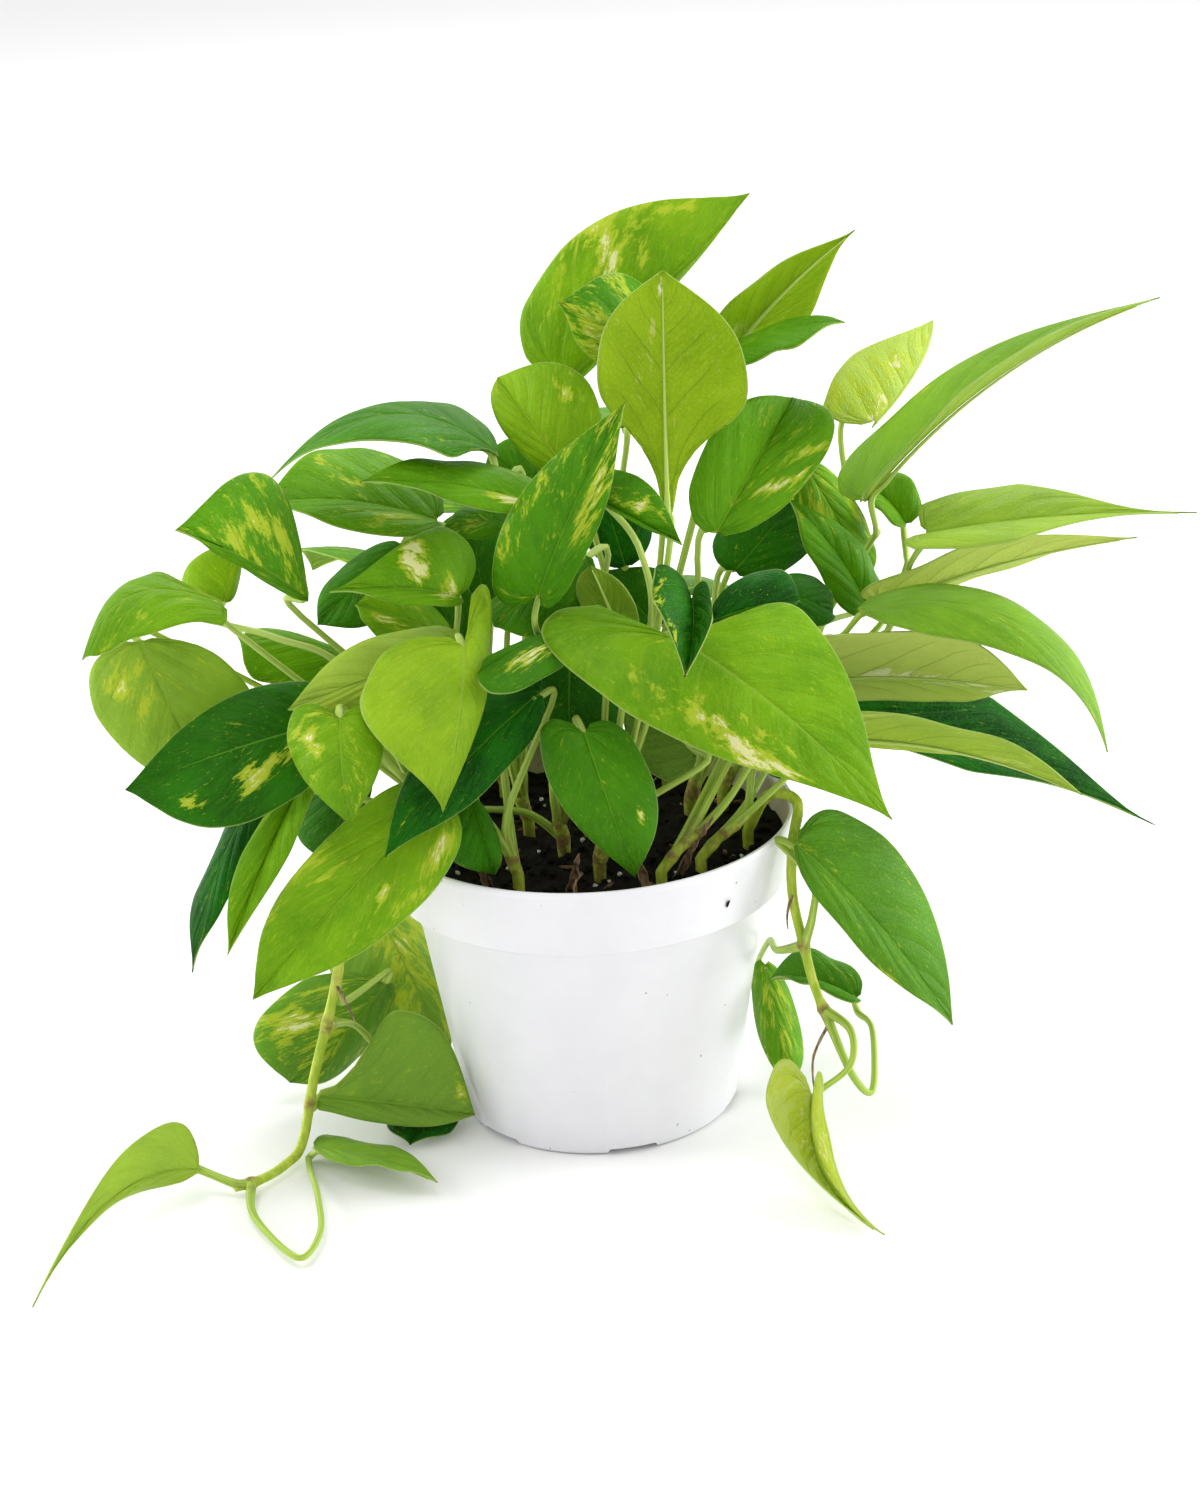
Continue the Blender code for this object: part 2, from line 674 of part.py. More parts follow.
def turned(profile, sides):
    """(verts, faces) of a closed ring-shaped solid from a closed profile of (radius, height)."""
    verts, faces = [], []
    count = len(profile)
    rings = []
    for radius, height in profile:
        if radius == 0:
            rings.append([len(verts)] * sides)
            verts.append((0.0, 0.0, height))
            continue
        rings.append([len(verts) + k for k in range(sides)])
        for k in range(sides):
            angle = 2 * math.pi * k / sides
            verts.append((radius * math.cos(angle), radius * math.sin(angle), height))
    closed = 0 if profile[0][0] == 0 else count
    for i in range(max(count - 1, closed)):
        here, after = rings[i], rings[(i + 1) % count]
        for k in range(sides):
            n = (k + 1) % sides
            ids = (here[k], here[n], after[n], after[k])
            for face in ((ids[0], ids[1], ids[2]), (ids[0], ids[2], ids[3])):
                if len(set(face)) == 3:
                    faces.append(face)
    return verts, faces


def inner_wall(height):
    """The inside radius of the pot at this height."""
    return BASE_RADIUS + (BODY_TOP_RADIUS - BASE_RADIUS) * height / BAND_FOOT_HEIGHT - WALL


def build_pot():
    white = material("white_plastic", (0.86, 0.86, 0.87), 0.35)
    band_inside = BAND_FOOT_RADIUS - WALL
    profile = (
        (0.0, 0.0),
        (PAD_RADIUS, 0.0),
        (PAD_RADIUS + 1.0, FLOOR_UNDER),
        (BASE_RADIUS - FOOT_RING_WIDTH, FLOOR_UNDER),
        (BASE_RADIUS - FOOT_RING_WIDTH + 0.6, 0.0),
        (BASE_RADIUS - 1.0, 0.0),
        (BASE_RADIUS, 1.2),
        (BODY_TOP_RADIUS - 0.6, BAND_FOOT_HEIGHT - 0.6),
        (BAND_FOOT_RADIUS - 1.4, BAND_FOOT_HEIGHT + 0.6),
        (BAND_FOOT_RADIUS, BAND_FOOT_HEIGHT + 1.6),
        (RIM_RADIUS, POT_HEIGHT - 1.5),
        (RIM_RADIUS - 0.5, POT_HEIGHT),
        (RIM_RADIUS - WALL, POT_HEIGHT),
        (band_inside, BAND_FOOT_HEIGHT + 3.6),
        (inner_wall(BAND_FOOT_HEIGHT), BAND_FOOT_HEIGHT + 1.6),
        (inner_wall(FLOOR_TOP + 1.5), FLOOR_TOP + 1.5),
        (inner_wall(FLOOR_TOP) - 2.0, FLOOR_TOP),
        (0.0, FLOOR_TOP),
    )
    pot = add_mesh("pot", *turned(profile, POT_SIDES), white)
    cutters = []
    for k in range(NOTCH_COUNT):
        angle = 2 * math.pi * (k + 0.2) / NOTCH_COUNT - math.pi / 2
        outward = np.array([math.cos(angle), math.sin(angle), 0.0])
        sideways = np.array([-outward[1], outward[0], 0.0])
        verts = []
        for height, wide in ((-2.0, NOTCH_WIDTH / 2), (NOTCH_HEIGHT, NOTCH_WIDTH / 2 - 2.0)):
            for reach in (BASE_RADIUS - FOOT_RING_WIDTH - 3.0, BASE_RADIUS + 4.0):
                for side in (-wide, wide):
                    verts.append(outward * reach + sideways * side + np.array([0, 0, height]))
        faces = ((0, 2, 3), (0, 3, 1), (4, 5, 7), (4, 7, 6), (0, 1, 5), (0, 5, 4))
        faces += ((2, 6, 7), (2, 7, 3), (0, 4, 6), (0, 6, 2), (1, 3, 7), (1, 7, 5))
        cutters.append(add_mesh("notch_cut", verts, faces, white))
        centre = outward * DRAIN_CIRCLE
        ends = [centre + np.array([0, 0, h]) for h in (FLOOR_UNDER - 2.0, FLOOR_TOP + 2.0)]
        cutters.append(add_mesh("drain_cut", *tube(ends, [DRAIN_RADIUS] * 2, 10), white))
    for cutter in cutters:
        face_outward(cutter)
    combine(pot, cutters, "DIFFERENCE")
    smooth_shade(pot, 35)


def face_outward(obj):
    make_active(obj)
    bpy.ops.object.mode_set(mode="EDIT")
    bpy.ops.mesh.select_all(action="SELECT")
    bpy.ops.mesh.normals_make_consistent(inside=False)
    bpy.ops.object.mode_set(mode="OBJECT")


def soil_height(x, y):
    lumps = math.sin(0.13 * x + 0.5) * math.cos(0.11 * y) + 0.6 * math.sin(0.31 * x - 0.27 * y)
    return SOIL_TOP + SOIL_LUMP * 0.6 * lumps


def build_soil():
    dark = material("soil", (0.02, 0.016, 0.013), 0.95)
    top_radius = BAND_FOOT_RADIUS + (RIM_RADIUS - BAND_FOOT_RADIUS) * (SOIL_TOP - BAND_FOOT_HEIGHT) / (
        POT_HEIGHT - BAND_FOOT_HEIGHT
    )
    edge = top_radius - WALL - SOIL_GAP - 0.8
    rings = (
        (0.0, FLOOR_TOP + SOIL_GAP),
        (inner_wall(FLOOR_TOP) - 2.6 - SOIL_GAP, FLOOR_TOP + SOIL_GAP),
        (inner_wall(FLOOR_TOP + 3.0) - SOIL_GAP - 0.4, FLOOR_TOP + 3.0),
        (inner_wall(BAND_FOOT_HEIGHT) - SOIL_GAP - 0.4, BAND_FOOT_HEIGHT + 1.9),
        (BAND_FOOT_RADIUS - WALL - SOIL_GAP - 1.0, BAND_FOOT_HEIGHT + 5.0),
        (edge, SOIL_TOP),
        (0.75 * edge, SOIL_TOP),
        (0.5 * edge, SOIL_TOP),
        (0.25 * edge, SOIL_TOP),
        (0.0, SOIL_TOP),
    )
    verts, faces = turned(rings, SOIL_SIDES)
    verts = [(x, y, soil_height(x, y) if z == SOIL_TOP else z) for x, y, z in verts]
    soil = add_mesh("soil", verts, faces, dark)
    cutters = []
    for vine in VINES:
        x, y = vine["root"]
        ends = [np.array([x, y, STEM_FOOT - 1.5]), np.array([x, y, SOIL_TOP + 8.0])]
        hole = tube(ends, [STEM_RADIUS + HOLE_SPARE] * 2, STEM_SIDES)
        cutters.append(add_mesh("hole_cut", *hole, dark))
    for cutter in cutters:
        face_outward(cutter)
    combine(soil, cutters, "DIFFERENCE")
    smooth_shade(soil, 40)


def build_vine(vine, order):
    green = material(vine["name"] + "_green", (0.12, 0.3, 0.03), 0.4)
    path = stem_path(vine)
    radii = list(np.linspace(STEM_RADIUS, 0.8 * STEM_RADIUS, len(path)))
    stem = add_mesh(vine["name"], *tube(path, radii, STEM_SIDES), green)
    pieces = []
    count = len(vine["leaves"])
    for k, made in enumerate(vine["leaves"]):
        blade = Blade(made, 2.4 * (order + k))
        at = made["at"] if made["at"] is not None else (k + 1) / count
        place = 1 + min(at, STALK_LAST) * (len(path) - 2)
        low = min(int(place), len(path) - 2)
        start = path[low] + (path[low + 1] - path[low]) * (place - low)
        grown = unit(path[low + 1] - path[low])
        pieces.append(add_mesh(made["name"], *blade.solid(), green))
        pieces.append(add_mesh(made["name"] + "_stalk", *tube(*stalk_path(blade, start, grown), PETIOLE_SIDES), green))
    combine(stem, pieces, "UNION")
    smooth_shade(stem, 50)
    return stem


def build():
    for obj in list(bpy.data.objects):
        bpy.data.objects.remove(obj)
    build_pot()
    build_soil()
    order = 0
    for vine in VINES:
        build_vine(vine, order)
        order += len(vine["leaves"])


build()
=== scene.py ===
"""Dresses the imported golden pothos: fine leaves, stalks, soil and pot in place of the plain solids.

Sizes are in millimetres and turned to metres once, where a mesh is made.
"""

import math
import random

import bpy
import numpy as np
from mathutils import Matrix, Vector, noise


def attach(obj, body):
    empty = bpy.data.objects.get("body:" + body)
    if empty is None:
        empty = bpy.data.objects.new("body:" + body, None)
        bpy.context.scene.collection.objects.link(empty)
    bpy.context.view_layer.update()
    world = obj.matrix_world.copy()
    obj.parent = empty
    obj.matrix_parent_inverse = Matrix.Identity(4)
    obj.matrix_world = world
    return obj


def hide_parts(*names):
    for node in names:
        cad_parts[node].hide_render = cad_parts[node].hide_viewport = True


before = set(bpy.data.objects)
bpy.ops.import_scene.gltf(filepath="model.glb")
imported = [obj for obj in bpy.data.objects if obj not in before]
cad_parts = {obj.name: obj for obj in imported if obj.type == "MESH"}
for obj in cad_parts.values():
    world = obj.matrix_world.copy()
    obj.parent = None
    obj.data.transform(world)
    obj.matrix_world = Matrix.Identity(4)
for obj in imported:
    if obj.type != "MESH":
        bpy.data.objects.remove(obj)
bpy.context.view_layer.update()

MM = 0.001

# The pot
POT_HEIGHT = 127.0
RIM_RADIUS = 83.5
BAND_FOOT_RADIUS = 80.0
BAND_FOOT_HEIGHT = 98.0
BODY_TOP_RADIUS = 72.5
BASE_RADIUS = 56.5
WALL = 1.5
FLOOR_TOP = 4.5
FLOOR_UNDER = 2.6
FOOT_RING_WIDTH = 4.0
PAD_RADIUS = 14.0
POT_STEPS = 144
POT_EDGE = 0.35
POT_EDGE_ANGLE = math.radians(32)
POT_SMOOTH_ANGLE = math.radians(38)
NOTCH_COUNT = 6
NOTCH_WIDTH = 20.0
NOTCH_HEIGHT = 2.0
NOTCH_DEPTH = 11.0
NOTCH_ROUNDING = 1.2
DRAIN_RADIUS = 4.0
DRAIN_CIRCLE = 42.0
DRAIN_SIDES = 28

# The soil
SOIL_TOP = 112.0
SOIL_LUMP = 1.6
SOIL_CRUMB = 1.5
SOIL_STEPS = 120
SOIL_RINGS = 40
# Broad lumps of the soil's top, and the finer noise over them
LUMP_TURNS = (0.13, 0.11, 0.31, 0.27)
CRUMB_TURNS, CRUMB_NOISE = 0.22, (0.8, 2.1, 5)
CRUMB_COUNT = 420
PERLITE_COUNT = 46
BARK_COUNT = 46
# How a scattered lump is spread, tilted, broken, and set into the top
LUMP_SPREAD = 0.97
LUMP_TILT = 0.5
LUMP_BROKEN = (0.7, 1.2)
LUMP_RISE, LUMP_LIFT = 0.3, 0.5
# The one crumb that sticks to the pot's band: where, how rough, and how it is stretched
CRUMB_PLACE = Vector((53.0, -62.4, 110.3))
CRUMB_ROUGH = 0.35
CRUMB_STRETCH = Matrix(((0.6, 0.0, 0.5), (0.2, 0.5, 0.0), (0.0, 0.0, 1.5)))

# The stems. A ring is the swollen, corky node that a stalk leaves from.
STEM_RADIUS = 2.3
STEM_TAPER = 0.8
STEM_SIDES = 14
STEM_FOOT = 94.0
STEM_SOIL_EXIT = 119.0
RING_SWELL = 0.45
RING_LENGTH = 2.2
STEM_POINTS_PER_SPAN = 8
# How far a rod's rounded ends stand out, as shares of its radius there
ROD_START, ROD_END = 0.3, 0.5

# The leaf stalks: a sheath where they leave the stem, a knee before the blade, and a ridge along its
# underside, which runs between two shares of the leaf's length and thins from one radius to the other.
STALK_RADIUS = 1.45
STALK_TIP_RADIUS = 1.1
STALK_SIDES = 12
STALK_UNDER = 1.8
STALK_LAST = 0.93
STALK_GROOVE = 0.2
GROOVE_WIDTH = 0.45
SHEATH_SWELL, SHEATH_LENGTH = 0.9, 14.0
KNEE_SWELL, KNEE_PLACE, KNEE_LENGTH = 0.35, 9.0, 6.0
RIDGE_SPAN = (0.1, 0.93)
RIDGE_RADII = (0.9, 0.22)
RIDGE_POINTS = 18
RIDGE_LIFT, RIDGE_SINK = 0.25, 1.05
STALK_POINTS, POINTS_PER_VIA = 22, 10
# How a stalk sets out from its stem and how it comes in under its blade
RISE_SHARE, RISE_LEAN = 0.3, 1.2
ARRIVE_AHEAD, ARRIVE_UP = 0.45, 0.55
ARRIVE_REACH, ARRIVE_SHARE = 14.0, 0.2
PAST_SEAT = 0.06
# How differently each leaf of the plant is waved
PHASE_STEP = 2.4

# The leaf blades
BLADE_THICKNESS = 0.6
SIDE_VEINS = 9.0
VEIN_LEAN = 0.2
RIB_DENT, RIB_DENT_WIDTH = 0.5, 1.6
DOME = 2.0
WAVE, WAVE_TURNS = 1.2, 9.0
RUFFLE, RUFFLE_TURNS = 0.45, 31.0
QUILTING, QUILT_MIDDLE, QUILT_POWER, QUILT_FADE = 0.016, 0.6, 0.7, 0.4
# How much closer together the grid's columns stand at the midrib
COLUMN_CROWDING = 1.35
# From this length on, a blade has this many rows and columns
BLADE_GRIDS = ((85.0, 84, 30), (50.0, 58, 22), (0.0, 34, 16))
OUTLINE_POINTS = 257
MERGE_DISTANCE = 0.01

# Half a leaf laid flat: share of the length, share of the half width. It starts at the notch beside the
# stalk.
OUTLINE = (
    (-0.075, 0.16),
    (-0.10, 0.50),
    (-0.01, 0.84),
    (0.22, 1.00),
    (0.44, 0.93),
    (0.64, 0.70),
    (0.82, 0.36),
    (0.93, 0.13),
    (1.0, 0.0),
)
OUTLINE_BROADEST = 0.22
# How far a long lobe carries each of those stations back
LOBE_SHARES = (1.0, 1.0, 0.85, 0.3, 0.0, 0.0, 0.0, 0.0, 0.0)
# Where each of those stations meets the midrib
RIB_STATIONS = (0.0, 0.0, 0.0, 0.17, 0.38, 0.58, 0.78, 0.92, 1.0)
# The lobe that the outline is drawn with, and how much it takes to fill the notch in
DRAWN_LOBE = 0.1
NOTCH_FILL = 0.22
NOTCH_EDGE = 0.15

# Places are read on an upright sheet through the middle of the pot, as seen from the front and a
# little above: across, up, and then how far toward the viewer the place stands from that sheet.
VIEW_TILT = math.radians(22.0)
VIEW_ROLL = math.radians(2.95)
VIEW_DISTANCE = 1350.0
VIEW_AIM = np.array([6.5, 0.0, 152.0])


def view_axes():
    """The viewer's place, and the directions that look right and up from there."""
    back = np.array([0.0, -math.cos(VIEW_TILT), math.sin(VIEW_TILT)])
    level = np.array([1.0, 0.0, 0.0])
    rise = np.cross(back, level)
    right = level * math.cos(VIEW_ROLL) - rise * math.sin(VIEW_ROLL)
    up = rise * math.cos(VIEW_ROLL) + level * math.sin(VIEW_ROLL)
    return VIEW_AIM + VIEW_DISTANCE * back, right, up


EYE, VIEW_RIGHT, VIEW_UP = view_axes()


def spot(across, up, toward):
    """The point that shows at (across, up) and stands this far toward the viewer."""
    seen = VIEW_AIM + across * VIEW_RIGHT + up * VIEW_UP
    share = (-toward - EYE[1]) / (seen[1] - EYE[1])
    return EYE + share * (seen - EYE)


def rest(across, up, height):
    """The same three numbers for a point known by its height above the table."""
    seen = VIEW_AIM + across * VIEW_RIGHT + up * VIEW_UP
    share = (height - EYE[2]) / (seen[2] - EYE[2])
    point = EYE + share * (seen - EYE)
    return (across, up, -point[1])


def spots(*places):
    """The points of many spots."""
    return tuple(tuple(spot(*place)) for place in places)


def rests(*places):
    """The three numbers of many rests."""
    return tuple(rest(*place) for place in places)


def leaf(name, seat, tip, sides, arch=6.0, shows="upper", **more):
    """One leaf: where its blade meets its stalk, its tip, and the widest point of each half.

    arch is how far the midrib bows, or mid is the place of its middle. broad is the share of the length
    where the leaf is widest, lobes and taper are one number for each half, via are places that the stalk
    runs through, and at is the share of the stem where the stalk leaves it.
    """
    made = dict(name=name, seat=seat, tip=tip, sides=sides, arch=arch, shows=shows)
    made.update(mid=None, broad=0.25, lobes=(DRAWN_LOBE, DRAWN_LOBE), taper=(1.0, 1.0), via=(), at=None)
    made.update(more)
    return made


def stemmed(name, root, stem, *leaves):
    """One vine: where its stem leaves the soil, the stem's further points, and its leaves."""
    return dict(name=name, root=root, stem=stem, leaves=leaves)


# Every vine: where its stem leaves the soil, the stem's further points, and its leaves
VINES = (
    stemmed(
        "vine_top", (18, 6), ((22, 8, 142),),
        leaf(
            "top_1", (-12, 149, -28), (60, 223, -50), ((-15, 201, -40), (11, 166, -36)), 8,
            taper=(1.1, 1.2),
        ),
        leaf("top_2", (34, 150, -8), (-17, 179, 12), ((18, 186, -16), (4, 151, 0)), 6),
        leaf(
            "top_3", (27, 94, 24), (25, 192, 12), ((-1, 147, 20), (59, 143, 20)), 6, "under", broad=0.52,
            lobes=(-0.12, -0.12),
        ),
        leaf(
            "top_4", (51, 158, -26), (102, 208, -32), ((52, 179, -20), (82, 171, -36)), 4, "under",
            taper=(1.4, 1.4),
        ),
        leaf("top_5", (55, 161, -12), (98, 171, -8), ((68, 168, -26), (68, 157, 8)), 3),
    ),
    stemmed(
        "vine_crown_left", (-24, 10), ((-27, 10, 130),),
        leaf("crown_13", (-14, 113, 8), (-41, 149, -20), ((-36, 124, 0), (-4, 146, -4)), 6),
        leaf("crown_14", (-24, 104, -22), (-44, 120, -30), ((-40, 106, -26), (-28, 122, -28)), 2),
        leaf(
            "left_1", (-42, 119, 2), (-131, 109, 6), ((-66, 119, 30), (-60, 137, -28)), mid=(-86, 134, 2),
            lobes=(-0.12, -0.05), via=((-30, 103, -14),),
        ),
        leaf(
            "left_4", (-24, 98, 20), (-96, 107, 36), ((-46, 114, 6), (-48, 97, 36)), 4,
            via=((-28, 70, -2),),
        ),
        leaf("left_4b", (-38, 92, -6), (-64, 87, 4), ((-48, 98, -12), (-50, 84, 2)), 2),
    ),
    stemmed(
        "vine_middle", (-10, -10), ((-12, -12, 129),),
        leaf(
            "centre_5", (-24, 63, 38), (10, 139, 34), ((-40, 86, 34), (-3, 84, 44)), 8,
            via=((-20, 32, 14), (-26, 50, 34)),
        ),
        leaf("centre_6", (-6, 78, 11), (-42, 49, 19), ((-36, 66, 3), (-14, 50, 20)), 5),
        leaf(
            "centre_7", (-2, 101, 32), (33, 82, 46), ((14, 110, 36), (10, 93, 42)), 4,
            via=((18, 40, 16), (16, 80, 30)),
        ),
        leaf("centre_16", (-12, 36, 22), (-12, -2, 30), ((-34, 18, 22), (9, 18, 26)), 4),
        leaf(
            "left_15", (-66, -20, 62), (-139, -100, 88), ((-112, -38, 66), (-68, -58, 80)), 5,
            lobes=(0.1, 0), via=((-30, -25, 12), (-53, -23, 27)), at=0.0,
        ),
    ),
    stemmed(
        "vine_crown_right", (42, 18), ((45, 18, 130),),
        leaf("centre_8", (47, 88, 10), (77, 141, -28), ((43, 124, 3), (89, 116, 0)), 8),
        leaf("centre_9", (83, 112, -53), (105, 66, -60), ((104, 96, -60), (84, 84, -49)), 6),
        leaf(
            "centre_10", (107, 57, -30), (75, 101, -20), ((110, 73, -34), (88, 69, -16)), 5,
            via=((68, 36, -22), (88, 50, -30)),
        ),
        leaf("centre_11", (64, 62, 1), (93, 54, -10), ((80, 70, -13), (82, 50, 5)), 5),
        leaf("centre_12", (46, 52, 22), (80, 60, 10), ((62, 71, 8), (62, 48, 24)), 5),
        leaf("centre_13", (54, 72, -24), (78, 100, -38), ((50, 92, -34), (82, 78, -32)), 3),
    ),
    stemmed(
        "vine_right_high", (56, 30), ((60, 32, 129),),
        leaf(
            "top_6", (111, 132, -62), (133, 172, -96), ((93, 149, -60), (119, 144, -88)), 5,
            via=((80, 30, -36), (99, 84, -62)),
        ),
        leaf(
            "top_7", (107, 101, -28), (224, 181, -40), ((110, 129, -52), (130, 128, 6)),
            mid=(160, 150, -24), broad=0.2, lobes=(0, 0), taper=(1.35, 1.3), via=((105, 78, -42),),
        ),
        leaf(
            "top_8", (122, 91, -58), (104, 103, -80), ((125, 107, -66), (110, 97, -52)), 6,
            via=((112, 50, -54), (122, 72, -56)),
        ),
        leaf(
            "top_9", (132, 87, -8), (239, 95, -12), ((168, 107, -34), (166, 83, 16)), 3, broad=0.38,
            lobes=(0, 0.05), taper=(3.2, 2.3), via=((100, 24, -52), (120, 60, -44)),
        ),
    ),
    stemmed(
        "vine_right", (28, -48), ((35, -46, 127), (44, -42, 133)),
        leaf(
            "top_10", (117, 60, -18), (215, 85, -42), ((134, 77, -10), (146, 66, -40)), 0, "under",
            mid=(164, 76, -29), taper=(1.3, 1.3), via=((66, 28, 4), (90, 44, -10)),
        ),
        leaf(
            "right_1", (105, 57, 14), (203, -1, 32), ((144, 65, -6), (136, 46, 38)), 28,
            lobes=(-0.05, -0.05), via=((71, 30, 8), (88, 44, 4)),
        ),
        leaf("right_2", (80, 28, 12), (171, 24, 14), ((120, 48, 24), (122, 19, -8)), 4, "under", broad=0.4),
    ),
    stemmed(
        "vine_right_low", (44, -37), ((51, -35, 126), (59, -33, 131)),
        leaf(
            "right_3", (85, 12, -14), (222, -30, -16), ((155, 21, -36), (148, -8, 2)), 8, broad=0.5,
            taper=(2.2, 2.4),
        ),
        leaf("right_4", (88, 5, 26), (193, -18, 30), ((118, 14, 42), (118, 1, 13)), 7, "under"),
        leaf("right_5", (66, -6, 22), (98, 4, 0), ((82, 14, 6), (86, -10, 16)), 3),
    ),
    stemmed(
        "vine_front", (4, -36), ((6, -39, 128),),
        leaf(
            "centre_1", (32, 44, 46), (117, -28, 78), ((10, 15, 70), (81, 56, 30)), 10, lobes=(0.3, -0.12),
            taper=(1.2, 1.4),
        ),
        leaf(
            "centre_2", (37, 60, 58), (34, 29, 92), ((21, 66, 75), (45, 58, 72)), 4, lobes=(0.3, 0.2),
            via=((24, 26, 32), (36, 52, 38)),
        ),
        leaf("centre_3", (-6, 6, 54), (14, -51, 68), ((-22, -8, 58), (20, -9, 58)), 6),
        leaf(
            "centre_4", (-2, 49, 24), (-49, 30, 59), ((-28, 42, 31), (-34, 24, 66)), 5,
            via=((2, 14, 34), (4, 40, 28)),
        ),
        leaf("centre_17", (38, 0, 28), (8, 25, 24), ((30, 28, 20), (20, -9, 30)), 3, "under"),
        leaf("centre_4b", (8, 46, 24), (-4, 74, 18), ((-8, 58, 20), (14, 58, 22)), 3, "under"),
    ),
    stemmed(
        "vine_left_high", (-46, 28), ((-50, 28, 130),),
        leaf("left_2", (-66, 92, -14), (-134, 99, -22), ((-92, 120, -46), (-98, 88, 2)), 5),
        leaf(
            "left_3", (-117, 60, 34), (-170, 88, 66), ((-129, 107, 26), (-141, 71, 54)), 6, broad=0.32,
            lobes=(-0.12, 0.0),
        ),
        leaf("left_17", (-57, 61, 30), (-109, 63, 48), ((-64, 89, 14), (-76, 58, 46)), 5, taper=(1.6, 1.1)),
        leaf("left_19", (-80, 80, -14), (-113, 50, -6), ((-102, 74, -16), (-82, 56, -6)), 5),
        leaf("left_22", (-54, 40, -14), (-70, 72, -20), ((-78, 54, -18), (-50, 60, -16)), 4),
    ),
    stemmed(
        "vine_left", (-62, 6), ((-65, 5, 129),),
        leaf(
            "left_6", (-152, 59, 44), (-207, 36, 84), ((-184, 70, 34), (-186, 44, 76)), mid=(-187, 62, 60),
            broad=0.5, lobes=(-0.12, 0.0), taper=(1.3, 1.0),
        ),
        leaf(
            "left_23", (-150, 60, 30), (-147, 84, 18), ((-167, 68, 26), (-144, 70, 22)), 2,
            via=((-100, 30, 24), (-130, 45, 30)),
        ),
        leaf(
            "left_7", (-184, 43, 36), (-150, -26, 40), ((-202, 15, 40), (-140, 24, 30)), 5, lobes=(0, 0),
            taper=(1.2, 1.2),
        ),
        leaf("left_18", (-61, 44, 9), (-98, 58, 14), ((-76, 63, -3), (-86, 44, 17)), 4),
        leaf("left_20", (-100, 37, -4), (-145, 45, 8), ((-120, 45, -14), (-130, 25, 16)), 4),
    ),
    stemmed(
        "vine_left_front", (-45, -16), ((-50, -20, 129),),
        leaf("left_8", (-114, 10, 46), (-190, -16, 74), ((-137, 25, 40), (-139, -28, 72)), 6),
        leaf(
            "left_9", (-138, -18, 44), (-163, -89, 64), ((-155, -42, 40), (-141, -48, 58)), 5,
            taper=(1.4, 1.2),
        ),
        leaf(
            "left_10", (-122, -18, 52), (-149, -82, 86), ((-143, -42, 70), (-120, -32, 66)), 5,
            taper=(1.2, 1.0),
        ),
        leaf(
            "left_11", (-104, 12, 71), (-100, -30, 86), ((-125, 6, 69), (-87, 4, 74)), 5,
            via=((-86, -4, 58),),
        ),
        leaf("left_12", (-58, 38, 32), (-125, 16, 54), ((-84, 47, 30), (-90, 18, 48)), 6),
        leaf("left_21", (-96, -8, 26), (-110, -44, 30), ((-120, -22, 22), (-94, -26, 26)), 3),
    ),
    stemmed(
        "vine_front_left", (-28, -44), ((-31, -45, 129),),
        leaf(
            "left_13", (-54, 41, 54), (-63, -25, 90), ((-96, 20, 70), (-44, 33, 46)), 5, lobes=(0.1, 0.35),
            taper=(1.3, 1.2), via=((-42, 12, 27),),
        ),
        leaf("left_14", (-25, 22, 44), (-86, -43, 84), ((-58, 14, 40), (-38, -9, 62)), 6, lobes=(0.1, 0)),
        leaf("left_16", (-52, -20, 51), (-42, -50, 60), ((-64, -36, 57), (-41, -34, 57)), 4),
    ),
    stemmed(
        "vine_trailing_left", (-60, -27),
        ((-70, -28, 137), (-87, -31, 135), (-98, -35, 108))
        + spots((-105, -90, 35), (-114, -129, 38))
        + spots(*rests((-119, -157, 7), (-126, -166, 4), (-136, -172, 4), (-146, -175, 4))),
        leaf("low_1", (-88, -66, -34), (-60, -124, -28), ((-68, -76, -42), (-106, -94, -30)), 6, at=0.3),
        leaf("low_2", (-86, -94, -14), (-124, -133, -2), ((-133, -103, -8), (-94, -120, -14)), 6, at=0.45),
        leaf(
            "low_3", (-112, -139, 34), (-50, -146, 30), ((-80, -104, 18), (-84, -150, 44)), 5, broad=0.45,
            lobes=(-0.12, 0), at=0.6,
        ),
        leaf(
            "low_4", (-64, -132, 10), (-76, -158, 45), ((-84, -146, 30), (-56, -148, 28)), 3, at=0.5,
            via=((-98, -110, 12), (-84, -124, 6)),
        ),
        leaf(
            "low_5", (-161, -168, 77), rest(-227, -223, 2), ((-172, -149, 68), (-177, -175, 86)), at=1.0,
            mid=(-196, -180, 104), broad=0.16, lobes=(-0.1, -0.1), taper=(1.2, 1.2),
        ),
        leaf(
            "low_6", (-114, -159, 52), (-65, -173, 84), ((-97, -156, 42), (-99, -166, 74)), 3, at=1.0,
            lobes=(0, 0), via=rests((-138, -187, 4), (-121, -203, 4), (-112, -193, 4), (-113, -178, 6)),
        ),
    ),
    stemmed(
        "vine_trailing_right", (64, -12),
        ((72, -20, 137), (83, -28, 137))
        + spots((77, -38, 36), (77, -58, 40), (82, -80, 44), (86, -95, 47), (93, -112, 52)),
        leaf(
            "low_right_1", (79, -38, 46), (141, -110, 52), ((112, -34, 26), (98, -74, 60)), 6, at=0.7,
            lobes=(0, 0), via=((85, -66, 49), (85, -52, 50)),
        ),
        leaf(
            "low_right_2", (66, -86, -24), (75, -136, 14), ((80, -111, -8), (62, -107, -12)), 4, at=0.7,
            via=((71, -80, 28), (68, -76, 0)),
        ),
        leaf(
            "low_right_3", (102, -99, 30), (68, -92, 2), ((92, -82, 4), (90, -97, 36)), 4, at=1.0,
